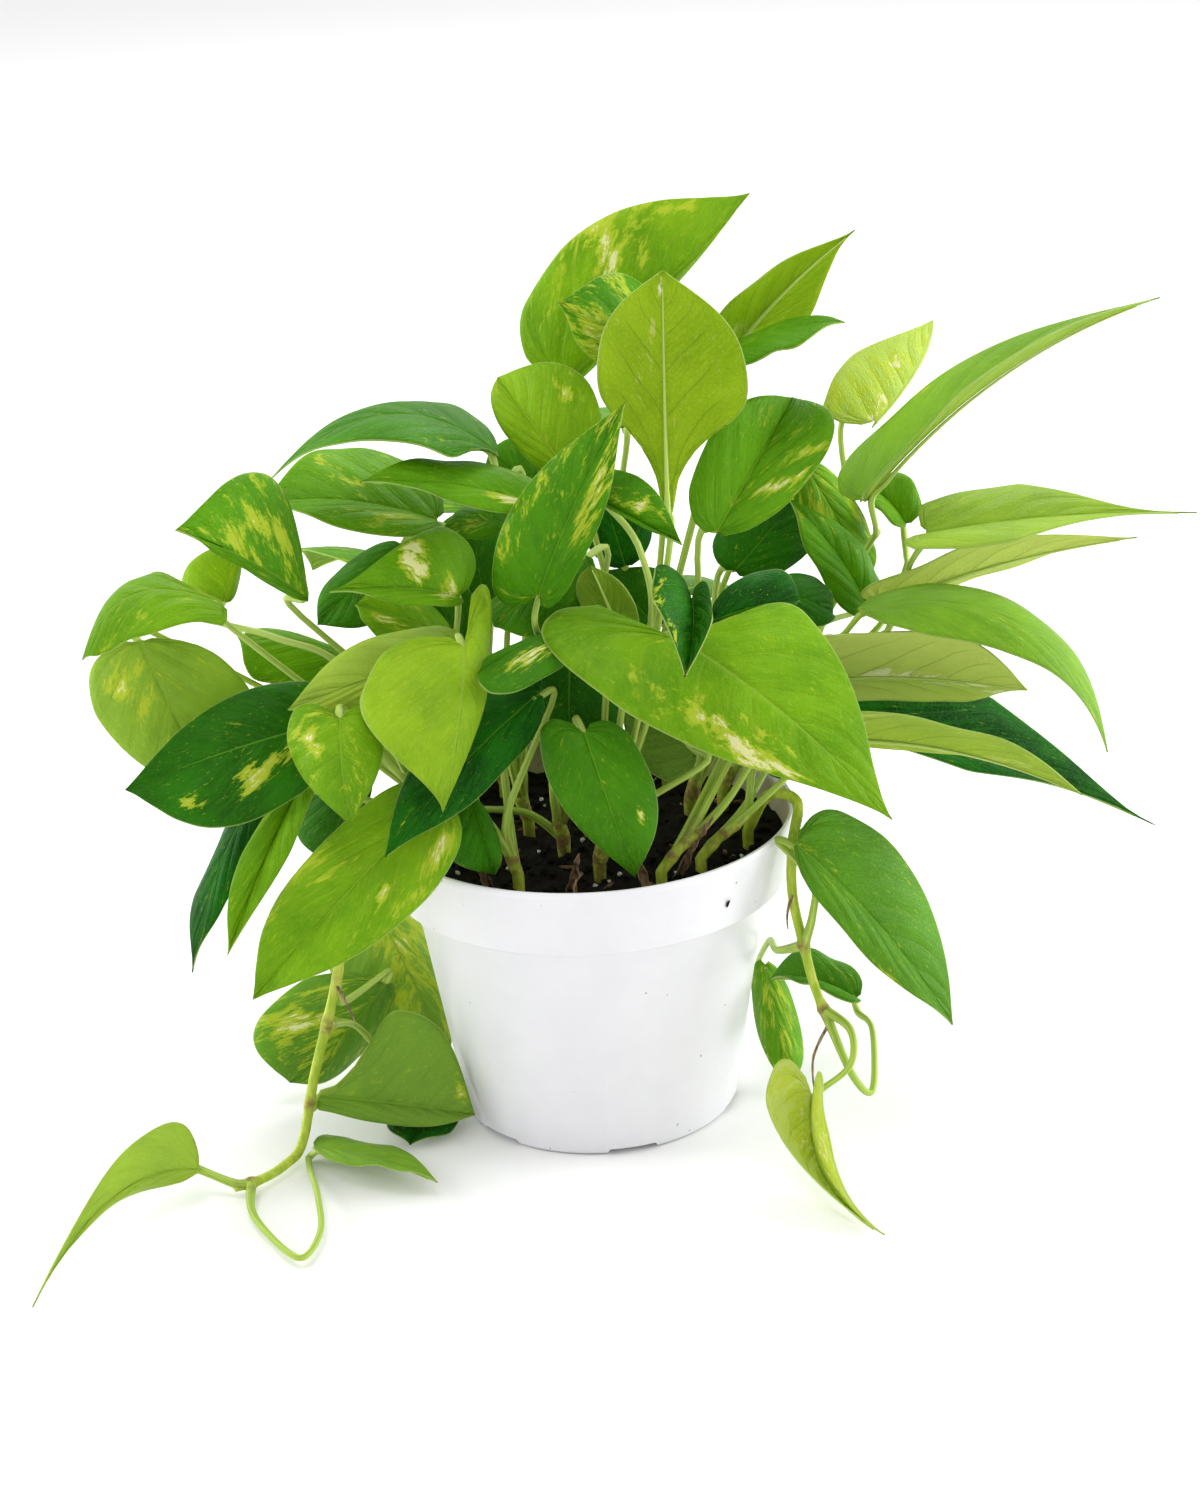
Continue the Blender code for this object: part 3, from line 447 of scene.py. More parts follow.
            via=((101, -130, 60), (109, -136, 58), (109, -112, 46)),
        ),
        leaf(
            "low_right_4", (85, -139, 72), rest(114, -194, 2), ((67, -142, 78), (91, -152, 100)), at=1.0,
            mid=(90, -171, 96), taper=(1.4, 1.2), via=((100, -112, 58), (100, -126, 66)),
        ),
    ),
    stemmed(
        "vine_back_left", (-34, 50), ((-37, 52, 130),),
        leaf("back_1", (-45, 98, -58), (-75, 98, -140), ((-90, 100, -90), (-30, 100, -95)), 8),
        leaf("back_11", (-46, 56, -28), (-52, 98, -44), ((-66, 76, -38), (-34, 78, -38)), 4),
        leaf("back_2", (-70, 70, -50), (-115, 72, -115), ((-112, 78, -72), (-70, 74, -95)), 8, "under"),
        leaf("back_3", (-80, 20, -45), (-110, 15, -120), ((-130, 18, -80), (-70, 20, -90)), 8, "under"),
    ),
    stemmed(
        "vine_back", (0, 42), ((0, 45, 131),),
        leaf("back_4", (10, 130, -50), (10, 128, -135), ((-22, 130, -80), (40, 130, -80)), 8, "under"),
        leaf("back_5", (30, 64, -60), (20, 60, -140), ((-10, 64, -90), (55, 64, -92)), 8, "under"),
        leaf("back_6", (-20, 20, -60), (-30, 0, -140), ((-55, 10, -95), (10, 10, -95)), 8, "under"),
        leaf("centre_15", (22, 50, -25), (2, 72, -33), ((4, 52, -27), (30, 68, -31)), 3),
        leaf(
            "centre_14", (10, 74, -26), (0, 106, -36), ((-8, 88, -32), (20, 96, -34)), 3,
            via=((12, 48, -49), (17, 66, -48)),
        ),
    ),
    stemmed(
        "vine_back_right", (34, 56), ((36, 58, 130),),
        leaf("back_7", (60, 100, -62), (75, 98, -142), ((45, 102, -98), (95, 100, -96)), 8, "under"),
        leaf("back_8", (85, 40, -50), (110, 36, -125), ((75, 38, -90), (130, 40, -85)), 8, "under"),
        leaf("back_9", (55, 20, -65), (75, 12, -140), ((30, 14, -95), (95, 16, -95)), 8, "under"),
    ),
)


def look(gold, tone_and_painted_shade, *marks, wash_and_painted_light=0.0):
    """How one leaf is coloured.

    gold is how much of it is marbled, and tone runs from dark to light green: partly the leaf's own green,
    partly painted shade on leaves deep inside the plant and painted light on leaves that lie in shadow. Each
    mark is a pale
    patch: its place along and across the leaf, its length and width as shares of the leaf, and its strength.
    wash is
    how far the whole leaf is paled: partly its own paler colour, partly painted light on leaves that lie in
    shadow.
    """
    return dict(gold=gold, tone_and_painted_shade=tone_and_painted_shade, marks=marks, wash_and_painted_light=wash_and_painted_light)


# Each leaf's look. A low tone is partly painted shade, for leaves deep inside the plant; a high tone and a
# wash are partly painted light, for leaves that lie in shadow.
LOOKS = {
    "top_1": look(
        0.36, 0.78, (0.45, -0.6, 0.03, 0.28, 1.2), (0.53, -0.5, 0.03, 0.22, 0.5),
        (0.67, -0.8, 0.05, 0.25, 0.35),
    ),
    "top_2": look(0.7, 0.3, (0.62, 0.6, 0.1, 0.3, 0.4)),
    "top_3": look(
        0.2, 0.95, (0.82, -0.15, 0.10, 0.10, 1.3), (0.55, -0.2, 0.12, 0.05, 0.7),
        (0.44, -0.38, 0.03, 0.06, 0.9),
    ),
    "top_4": look(0.15, 1.0, (0.34, -0.25, 0.03, 0.12, 0.8)),
    "top_5": look(0.2, 0.45),
    "crown_13": look(0.4, 0.85, (0.45, 0.68, 0.05, 0.12, 0.8)),
    "left_1": look(0.05, 0.2),
    "left_4": look(0.2, 0.52, (0.3, 0.4, 0.07, 0.4, 1.1)),
    "left_4b": look(0.5, 0.3),
    "centre_5": look(0.36, 0.26, (0.9, -0.1, 0.12, 0.9, 0.55), (0.6, 0.65, 0.2, 0.35, 0.4)),
    "centre_6": look(0.3, 0.25),
    "centre_7": look(0.3, 0.3, (0.5, -0.45, 0.05, 0.25, 0.8)),
    "left_15": look(0.34, 0.74, (0.45, 0.45, 0.05, 0.2, 0.7), (0.3, 0.7, 0.05, 0.15, 0.6)),
    "centre_8": look(0.2, 0.5, (0.35, 0.5, 0.025, 0.45, 0.9), (0.45, 0.75, 0.025, 0.3, 0.6)),
    "centre_9": look(0.6, 0.6, (0.42, 0.7, 0.12, 0.3, 0.6)),
    "centre_10": look(0.15, 0.4),
    "centre_11": look(0.05, 0.05),
    "centre_12": look(0.05, 0.0),
    "top_6": look(0.2, 1.0, (0.5, 0.0, 0.5, 0.9, 0.6), wash_and_painted_light=0.55),
    "top_7": look(0.12, 0.6, wash_and_painted_light=0.12),
    "top_8": look(0.1, 0.6),
    "top_9": look(0.22, 1.0, wash_and_painted_light=0.2),
    "top_10": look(0.4, 1.0, wash_and_painted_light=0.8),
    "right_1": look(0.22, 0.62, (0.8, 0.6, 0.04, 0.3, 0.9), wash_and_painted_light=0.08),
    "right_2": look(
        0.3, 1.0, (0.42, 0.0, 0.14, 0.12, 1.3), (0.6, 0.35, 0.16, 0.12, 1.5), (0.78, 0.8, 0.16, 0.14, 1.5),
        wash_and_painted_light=0.85,
    ),
    "right_3": look(0.05, 0.0),
    "right_4": look(0.35, 0.85, wash_and_painted_light=0.2),
    "centre_1": look(
        0.12, 0.72, (0.47, -0.55, 0.03, 0.08, 1.1), (0.54, -0.70, 0.035, 0.09, 1.2),
        (0.63, -0.88, 0.08, 0.14, 1.3), (0.55, -0.45, 0.16, 0.32, 0.4),
    ),
    "centre_2": look(0.15, 0.02, (0.5, -0.88, 0.25, 0.12, 0.6), (0.9, 0.0, 0.07, 0.6, 0.5)),
    "centre_3": look(0.05, 0.22, (0.55, 0.64, 0.045, 0.06, 1.9), (0.6, -0.1, 0.05, 0.13, 0.45)),
    "centre_4": look(0.05, 0.2, (0.47, 0.44, 0.12, 0.2, 1.2)),
    "centre_4b": look(0.1, 0.5),
    "left_2": look(
        0.22, 0.55, (0.52, -0.3, 0.07, 0.3, 0.7), (0.35, 0.45, 0.05, 0.25, 0.55),
        (0.6, -0.8, 0.04, 0.2, 0.3),
    ),
    "left_3": look(0.5, 0.4),
    "left_17": look(
        0.2, 0.6, (0.45, -0.23, 0.04, 0.2, 1.3), (0.5, -0.65, 0.045, 0.3, 1.3),
        (0.3, 0.15, 0.05, 0.4, 1.3),
    ),
    "left_19": look(0.2, 0.15),
    "left_6": look(0.2, 0.7),
    "left_7": look(0.42, 0.75, (0.33, -0.6, 0.04, 0.2, 0.4), wash_and_painted_light=0.18),
    "left_18": look(0.3, 0.7, (0.55, 0.5, 0.16, 0.2, 1.2)),
    "left_20": look(0.2, 0.6),
    "left_8": look(
        0.08, 0.05, (0.42, 0.42, 0.10, 0.3, 0.6), (0.62, 0.7, 0.05, 0.2, 0.6), (0.3, 0.2, 0.04, 0.2, 0.5),
    ),
    "left_9": look(0.05, 0.0),
    "left_10": look(0.2, 0.65),
    "left_11": look(0.36, 0.7, (0.4, -0.5, 0.06, 0.2, 0.5)),
    "left_12": look(0.35, 1.0, (0.6, 0.7, 0.2, 0.2, 0.3), wash_and_painted_light=0.3),
    "left_13": look(0.15, 0.95, wash_and_painted_light=0.05),
    "left_14": look(0.0, 0.0),
    "left_16": look(0.05, 0.1),
    "low_1": look(0.6, 0.45, (0.36, -0.2, 0.05, 0.25, 0.6), wash_and_painted_light=0.2),
    "low_2": look(0.5, 0.3, (0.45, -0.6, 0.07, 0.3, 0.6), wash_and_painted_light=0.1),
    "low_3": look(0.2, 0.45, (0.75, -0.5, 0.06, 0.25, 0.6), wash_and_painted_light=0.2),
    "low_4": look(0.1, 0.0),
    "low_5": look(0.2, 0.9, wash_and_painted_light=0.25),
    "low_6": look(0.1, 0.55, wash_and_painted_light=0.15),
    "low_right_1": look(0.15, 0.28, wash_and_painted_light=0.05),
    "low_right_2": look(0.5, 0.5, (0.45, 0.3, 0.1, 0.3, 0.5)),
    "low_right_3": look(0.2, 0.3),
    "crown_14": look(0.1, 0.3),
    # The small leaves deep inside the plant below are mostly given a very low tone: painted shade of the
    # plant's middle.
    "centre_13": look(0.1, 0.05),
    "centre_14": look(0.1, 0.0),
    "centre_15": look(0.1, 0.1),
    "centre_16": look(0.05, 0.05),
    "centre_17": look(0.05, 0.1),
    "left_23": look(0.3, 0.85),
    "left_21": look(0.1, 0.1),
    "left_22": look(0.15, 0.15),
    "back_11": look(0.1, 0.1),
    "right_5": look(0.05, 0.05),
    "low_right_4": look(0.6, 1.0, (0.5, 0.2, 0.5, 0.6, 0.4), wash_and_painted_light=0.8),
}
PLAIN_LOOK = look(0.25, 0.5)

# Noise drawn along a leaf: how often it repeats lengthwise and sideways, its detail, roughness and distortion
STREAKS = (18.0, 3.4, 6.0, 0.72, 0.35)
REGIONS = (2.6, 1.3, 1.5, 0.5)
GRAIN = (75.0, 14.0, 3.0, 0.7)
STRIPES = (62.0, 3.2, 3.0, 0.6, 0.3)
FLECKS = (48.0, 20.0, 2.0, 0.5)
# How much each of them adds to the level that turns a leaf yellow-green and then cream between these levels
STREAK_SHARE, REGION_SHARE, GRAIN_SHARE, GOLD_SHARE = 0.62, 0.38, 0.17, 0.2
PATCH_RANGE = (0.36, 0.6, 0.10, 0.36)
YELLOW_LEVELS = (0.62, 0.71)
CREAM_LEVELS = (0.76, 0.83)
FLECK_LEVELS = (0.66, 0.72)
SEED_STEP = 7.31
MARBLING_INPUTS = (("Along", 0.0), ("Across", 0.0), ("Seed", 0.0), ("Gold", 0.3), ("Pale", 0.0))
MARBLING_OUTPUTS = ("Yellow", "Cream", "Grain", "Stripe", "Flecks")
MIDRIB_WIDTH = 0.028
VEIN_LEVELS = (0.45, 0.5)
EDGE_SPAN = (0.978, 0.998)
NET_CELLS = 520.0

# Colours are shares of red, green and blue light. Where a leaf's face has two, tone runs from the first to
# the
# second: the dark first colours are partly painted shade, the light second ones partly painted light. The
# numbers after them are how strongly the side veins show, the two ends of the roughness, the shine, how
# strong the fresh green of the middle tones is, and which way the veins lift the skin.
UPPER_FACE = dict(
    deep=((0.001, 0.055, 0.0003), (0.19, 0.40, 0.0015)),
    lit=((0.009, 0.16, 0.0006), (0.34, 0.58, 0.004)),
    speck=((0.03, 0.27, 0.002), (0.46, 0.69, 0.03)),
    net=((0.03, 0.27, 0.002), (0.46, 0.69, 0.03)),
    vein=((0.04, 0.24, 0.004), (0.44, 0.62, 0.03)),
    rib=((0.12, 0.36, 0.02), (0.38, 0.57, 0.05)),
    yellow=(0.56, 0.66, 0.04),
    cream=(0.86, 0.84, 0.42),
    edge=(0.46, 0.62, 0.16),
    vein_share=0.3,
    rough=(0.36, 0.48),
    shine=0.13,
    fresh=1.3,
    lift=1.0,
)
UNDER_FACE = dict(
    deep=((0.13, 0.28, 0.03), (0.28, 0.47, 0.006)),
    lit=((0.22, 0.39, 0.06), (0.38, 0.58, 0.01)),
    speck=((0.34, 0.48, 0.09), (0.52, 0.66, 0.04)),
    net=((0.09, 0.20, 0.02), (0.17, 0.31, 0.02)),
    vein=((0.09, 0.20, 0.02), (0.17, 0.31, 0.02)),
    rib=((0.56, 0.68, 0.18), (0.56, 0.68, 0.18)),
    yellow=(0.62, 0.68, 0.16),
    cream=(0.94, 0.92, 0.60),
    edge=(0.50, 0.62, 0.17),
    vein_share=0.5,
    rough=(0.52, 0.64),
    shine=0.1,
    fresh=0.0,
    lift=-1.0,
)
FRESH_GREEN = (0.05, 0.44, 0.003)
# The pale colour of the wash: partly the leaves' own paler colour, partly painted light on leaves that lie in
# shadow.
WASHED_AND_PAINTED_LIGHT = (0.70, 0.78, 0.20)
LIGHT_THROUGH = (0.42, 0.66, 0.005)
THROUGH_SHARE = 0.26
STALK_GREENS = (0.24, 0.40, 0.03), (0.48, 0.61, 0.11)
STALK_PALE = (0.56, 0.68, 0.20)
STALK_SPOT = (0.22, 0.20, 0.05)
STALK_BROWN = (0.20, 0.13, 0.045)
STEM_GREENS = (0.30, 0.44, 0.02), (0.56, 0.64, 0.08)
CORK = (0.21, 0.125, 0.05)
DRY_BROWNS = (0.10, 0.055, 0.025), (0.42, 0.29, 0.15)
POT_WHITES = (0.765, 0.757, 0.795), (0.795, 0.787, 0.82)
SCUFFED = (0.60, 0.59, 0.58)
WALL_DIRT = (0.34, 0.28, 0.15)
SOIL_DUST = (0.05, 0.035, 0.02)
POT_MARK = (0.10, 0.07, 0.05)
# The soil's two colours are its own dark colour made darker still: painted shade of the leaves above it. The
# crumbs and the crumb on the band share them.
SOIL_SHADES = (0.0025, 0.0018, 0.0012), (0.015, 0.011, 0.008)
PERLITE_SHADES = (0.55, 0.53, 0.48), (0.85, 0.83, 0.78)
BARK_SHADES = (0.05, 0.025, 0.012), (0.20, 0.115, 0.06)

# Noise over each surface: its scale, detail and roughness
LEAF_CLOUD, LEAF_SKIN = (38.0, 3.0, 0.55), (900.0, 2.0, 0.5)
STALK_STREAKS, STALK_SPOTS, STALK_CORK = (1.0, 4.0, 0.6), (420.0, 3.0, 0.6), (160.0, 3.0, 0.6)
STEM_STREAKS, STEM_CORK, DRY_FIBRES = (300.0, 4.0, 0.6), (240.0, 4.0, 0.65), (700.0, 4.0, 0.65)
POT_CLOUD, POT_DUST, POT_SCUFF = (45.0, 4.0, 0.6), (520.0, 4.0, 0.7), (60.0, 5.0, 0.7)
POT_MARKS, POT_SKIN = (330.0, 2.0, 0.5), (1500.0, 2.0, 0.5)
SOIL_GRAIN, PERLITE_GRAIN, BARK_GRAIN = (420.0, 5.0, 0.7), (600.0, 5.0, 0.7), (350.0, 5.0, 0.7)
# How the noise is stretched: round and along a stalk, and in x, y and z on the others
STALK_STRETCH, STEM_STRETCH, DRY_STRETCH = (9.0, 2.5, 1.0), (1.0, 1.0, 0.25), (1.0, 1.0, 0.2)
SCUFF_STRETCH = (1.0, 1.0, 9.0)
# Each surface's relief: its strength, and its depth in metres
LEAF_RELIEF, STALK_RELIEF, STEM_RELIEF = (0.7, 0.0010), (0.3, 0.0003), (0.4, 0.0004)
DRY_RELIEF, POT_RELIEF, GROUND_RELIEF = (0.5, 0.0005), (0.12, 0.0002), (0.8, 0.0012)
STALK_SHINE, STEM_SHINE, GROUND_SHINE = 0.25, 0.25, 0.15
SOIL_ROUGH, PERLITE_ROUGH, BARK_ROUGH, ROUGH_SPREAD = 0.97, 0.85, 0.9, 0.12
# The heights, in metres, between which the dust on the pot's inner wall begins and ends
DUST_FROM, DUST_TO = (0.100, 0.103), (0.1265, 0.122)
INNER_WALL_EDGE = (-0.0003, 0.0004)

NUMBER, VECTOR = "NodeSocketFloat", "NodeSocketVector"


class Nodes:
    """A short way to add nodes to a tree and wire them."""

    def __init__(self, tree):
        self.tree = tree

    def add(self, kind, **settings):
        node = self.tree.nodes.new(kind)
        for key, value in settings.items():
            setattr(node, key, value)
        return node

    def set(self, socket, value):
        if isinstance(value, bpy.types.NodeSocket):
            self.tree.links.new(value, socket)
        elif socket.type == "RGBA":
            socket.default_value = (*value, 1.0)
        else:
            socket.default_value = value

    def fill(self, sockets, values):
        for socket, value in zip(sockets, values):
            self.set(socket, value)

    def math(self, operation, a, b=0.0):
        node = self.add("ShaderNodeMath", operation=operation)
        self.fill(node.inputs, (a, b))
        return node.outputs[0]

    def times(self, a, b):
        return self.math("MULTIPLY", a, b)

    def plus(self, a, b):
        return self.math("ADD", a, b)

    def minus(self, a, b):
        return self.math("SUBTRACT", a, b)

    def between(self, value, low, high, to_low=0.0, to_high=1.0):
        """Value smoothly turned from low..high to another range, and held there."""
        node = self.add("ShaderNodeMapRange", interpolation_type="SMOOTHSTEP")
        self.fill(node.inputs, (value, low, high, to_low, to_high))
        return node.outputs[0]

    def mix(self, share, a, b):
        """From colour a to colour b as share runs from 0 to 1."""
        node = self.add("ShaderNodeMix", data_type="RGBA")
        self.fill((node.inputs[0], node.inputs[6], node.inputs[7]), (share, a, b))
        return node.outputs[2]

    def noise(self, vector, scale, detail=3.0, roughness=0.55, distortion=0.0):
        node = self.add("ShaderNodeTexNoise")
        labels = ("Vector", "Scale", "Detail", "Roughness", "Distortion")
        self.fill([node.inputs[label] for label in labels], (vector, scale, detail, roughness, distortion))
        return node.outputs["Fac"]

    def vector(self, *parts):
        node = self.add("ShaderNodeCombineXYZ")
        self.fill(node.inputs, parts)
        return node.outputs[0]

    def attribute(self, name):
        return self.add("ShaderNodeAttribute", attribute_name=name).outputs["Fac"]

    def stretched(self, vector, scale):
        mapping = self.add("ShaderNodeMapping")
        mapping.inputs["Scale"].default_value = scale
        self.set(mapping.inputs["Vector"], vector)
        return mapping.outputs[0]

    def place(self, scale=(1.0, 1.0, 1.0)):
        """Object coordinates in metres, stretched."""
        return self.stretched(self.add("ShaderNodeTexCoord").outputs["Object"], scale)

    def group(self, tree, **given):
        node = self.add("ShaderNodeGroup", node_tree=tree)
        for label, value in given.items():
            self.set(node.inputs[label], value)
        return node.outputs

    def finish(self, shader, colour, rough, height, relief, shine=0.5):
        """Fills in the shader. Height is turned into a relief of this strength and depth."""
        strength, depth = relief
        self.set(shader.inputs["Base Color"], colour)
        self.set(shader.inputs["Roughness"], rough)
        shader.inputs["Specular IOR Level"].default_value = shine
        bump = self.add("ShaderNodeBump")
        bump.inputs["Strength"].default_value = strength
        bump.inputs["Distance"].default_value = depth
        self.set(bump.inputs["Height"], height)
        self.set(shader.inputs["Normal"], bump.outputs[0])


def new_group(name, inputs, outputs):
    """An empty node group with these sockets."""
    group = bpy.data.node_groups.new(name, "ShaderNodeTree")
    for label, kind, value in inputs:
        socket = group.interface.new_socket(label, in_out="INPUT", socket_type=kind)
        if value is not None:
            socket.default_value = value
    for label in outputs:
        group.interface.new_socket(label, in_out="OUTPUT", socket_type=NUMBER)
    n = Nodes(group)
    return group, n, n.add("NodeGroupInput").outputs, n.add("NodeGroupOutput").inputs


def marbling_group():
    """Where a leaf is yellow-green and where it is cream: streaks that run out along its side veins."""
    inputs = [(label, NUMBER, value) for label, value in MARBLING_INPUTS]
    group, n, given, out = new_group("leaf_marbling", inputs, MARBLING_OUTPUTS)
    along = n.minus(given["Along"], n.times(n.math("ABSOLUTE", given["Across"]), VEIN_LEAN))
    layer = n.times(given["Seed"], SEED_STEP)

    def drawn(lengthwise, sideways, detail, roughness, distortion=0.0):
        """Noise that is stretched along the side veins."""
        where = n.vector(n.times(along, lengthwise), n.times(given["Across"], sideways), layer)
        return n.noise(where, 1.0, detail, roughness, distortion)

    streaks = drawn(*STREAKS)
    regions = drawn(*REGIONS)
    grain = drawn(*GRAIN)
    level = n.plus(n.times(streaks, STREAK_SHARE), n.times(regions, REGION_SHARE))
    level = n.plus(level, n.times(n.minus(grain, 0.5), GRAIN_SHARE))
    level = n.plus(level, n.times(given["Gold"], GOLD_SHARE))
    level = n.plus(level, n.times(given["Pale"], n.between(streaks, *PATCH_RANGE)))
    n.set(out["Yellow"], n.between(level, *YELLOW_LEVELS))
    n.set(out["Cream"], n.between(level, *CREAM_LEVELS))
    n.set(out["Grain"], grain)
    n.set(out["Stripe"], drawn(*STRIPES))
    n.set(out["Flecks"], n.between(drawn(*FLECKS), *FLECK_LEVELS))
    return group


def veins_group():
    """The midrib, the side veins, the paler edge, the fine net, and how all of them lift the skin."""
    inputs = (("Along", NUMBER, 0.0), ("Across", NUMBER, 0.0), ("Place", VECTOR, None))
    outputs = ("Midrib", "Side veins", "Edge", "Net", "Quilt")
    group, n, given, out = new_group("leaf_veins", inputs, outputs)
    side = n.math("ABSOLUTE", given["Across"])
    broad = n.times(n.minus(1.15, given["Along"]), MIDRIB_WIDTH)
    n.set(out["Midrib"], n.between(side, broad, n.times(broad, 0.4)))
    lean = n.minus(given["Along"], n.times(side, VEIN_LEAN))
    bent = n.plus(lean, n.times(n.minus(n.noise(given["Place"], 60.0, 1.0), 0.5), 0.03))
    away = n.math("ABSOLUTE", n.minus(n.math("FRACT", n.times(bent, SIDE_VEINS)), 0.5))
    fade = n.times(n.between(side, 0.98, 0.5), n.between(side, 0.0, 0.06))
    n.set(out["Side veins"], n.times(n.between(away, *VEIN_LEVELS), fade))
    n.set(out["Edge"], n.between(side, *EDGE_SPAN))
    cells = n.add("ShaderNodeTexVoronoi", feature="DISTANCE_TO_EDGE")
    n.set(cells.inputs["Vector"], given["Place"])
    cells.inputs["Scale"].default_value = NET_CELLS
    net = n.between(cells.outputs["Distance"], 0.10, 0.0)
    n.set(out["Net"], net)
    pillow = n.times(n.math("POWER", n.minus(0.5, away), 0.5), fade)
    n.set(out["Quilt"], n.minus(n.times(pillow, 1.4), n.times(net, 0.16)))
    return group


def principled(name):
    """A new material, its nodes, its main shader and its output."""
    made = bpy.data.materials.new(name)
    made.use_nodes = True
    nodes = made.node_tree.nodes
    return made, Nodes(made.node_tree), nodes["Principled BSDF"], nodes["Material Output"]


def leaf_material(name, face):
    """One face of the leaves. The light that comes through a thin leaf is a Translucent share of it."""
    made, n, shader, output = principled(name)
    # tone is partly the leaf's own green, partly painted shade and painted light.
    tone_and_painted_shade = n.attribute("tone_and_painted_shade")
    here = dict(Along=n.attribute("along"), Across=n.attribute("across"))
    own = dict(Seed=n.attribute("seed"), Gold=n.attribute("gold"), Pale=n.attribute("pale"))
    marbling = n.group(groups["marbling"], **here, **own)
    veins = n.group(groups["veins"], **here, Place=n.place())
    shades = {label: n.mix(tone_and_painted_shade, *face[label]) for label in ("deep", "lit", "speck", "net", "vein", "rib")}
    middling = n.times(tone_and_painted_shade, n.between(tone_and_painted_shade, 1.0, 0.0))
    colour = n.mix(n.between(n.noise(n.place(), *LEAF_CLOUD), 0.3, 0.7), shades["deep"], shades["lit"])
    for share, shade in (
        (n.times(middling, face["fresh"]), FRESH_GREEN),
        (n.times(n.between(marbling["Stripe"], 0.42, 0.66), 0.22), shades["speck"]),
        (n.times(n.between(marbling["Grain"], 0.5, 0.72), 0.42), shades["speck"]),
        (n.times(veins["Net"], 0.18), shades["net"]),
        (n.times(marbling["Flecks"], 0.4), face["yellow"]),
        # The wash pales a whole leaf: partly its own paler colour, partly painted light on leaves that lie in
        # shadow.
        (n.attribute("wash_and_painted_light"), WASHED_AND_PAINTED_LIGHT),
        (n.times(marbling["Yellow"], 0.85), face["yellow"]),
        (marbling["Cream"], face["cream"]),
        (n.times(veins["Side veins"], face["vein_share"]), shades["vein"]),
        (n.times(veins["Midrib"], 0.8), shades["rib"]),
        (n.times(veins["Edge"], 0.75), face["edge"]),
    ):
        colour = n.mix(share, colour, shade)
    height = n.plus(n.times(n.noise(n.place(), *LEAF_SKIN), 0.2), n.times(veins["Quilt"], face["lift"]))
    height = n.plus(height, n.times(marbling["Stripe"], 0.7))
    rough = n.between(marbling["Grain"], 0.3, 0.7, *face["rough"])
    n.finish(shader, colour, rough, height, LEAF_RELIEF, face["shine"])
    through = n.add("ShaderNodeBsdfTranslucent")
    n.set(through.inputs["Color"], n.mix(n.times(tone_and_painted_shade, 0.55), colour, LIGHT_THROUGH))
    share = n.add("ShaderNodeMixShader")
    n.fill(share.inputs, (THROUGH_SHARE, shader.outputs[0], through.outputs[0]))
    n.set(output.inputs["Surface"], share.outputs[0])
    return made


def stalk_material():
    """Leaf stalks: pale green, streaked along their length, browner in their sheath at the stem."""
    made, n, shader, _ = principled("stalk")
    along = n.attribute("along")
    uv = n.add("ShaderNodeUVMap", uv_map="UVMap").outputs[0]
    streak = n.between(n.noise(n.stretched(uv, STALK_STRETCH), *STALK_STREAKS), 0.35, 0.65)
    spots = n.between(n.noise(n.place(), *STALK_SPOTS), 0.66, 0.74)
    cork = n.between(n.noise(n.place(), *STALK_CORK), 0.42, 0.6)
    colour = n.mix(streak, *STALK_GREENS)
    colour = n.mix(n.times(n.between(along, 0.3, 0.75), 0.5), colour, STALK_PALE)
    colour = n.mix(n.times(spots, 0.25), colour, STALK_SPOT)
    colour = n.mix(n.times(n.times(n.between(along, 0.10, 0.0), cork), 0.55), colour, STALK_BROWN)
    rough = n.between(streak, 0.0, 1.0, 0.36, 0.5)
    n.finish(shader, colour, rough, streak, STALK_RELIEF, STALK_SHINE)
    return made


def stem_material():
    """Stems: green, with brown rings and cork at their nodes."""
    made, n, shader, _ = principled("stem")
    streak = n.between(n.noise(n.place(STEM_STRETCH), *STEM_STREAKS), 0.35, 0.7)
    cork = n.times(n.attribute("cork"), n.between(n.noise(n.place(), *STEM_CORK), 0.3, 0.6))
    colour = n.mix(cork, n.mix(streak, *STEM_GREENS), CORK)
    rough = n.between(cork, 0.0, 1.0, 0.42, 0.8)
    n.finish(shader, colour, rough, streak, STEM_RELIEF, STEM_SHINE)
    return made


def dry_material():
    """Dried sheaths and air roots: papery brown with darker fibres."""
    made, n, shader, _ = principled("dry_sheath")
    fibre = n.noise(n.place(DRY_STRETCH), *DRY_FIBRES)
    colour = n.mix(n.between(fibre, 0.35, 0.65), *DRY_BROWNS)
    rough = n.between(fibre, 0.3, 0.7, 0.7, 0.9)
    n.finish(shader, colour, rough, fibre, DRY_RELIEF)
    return made


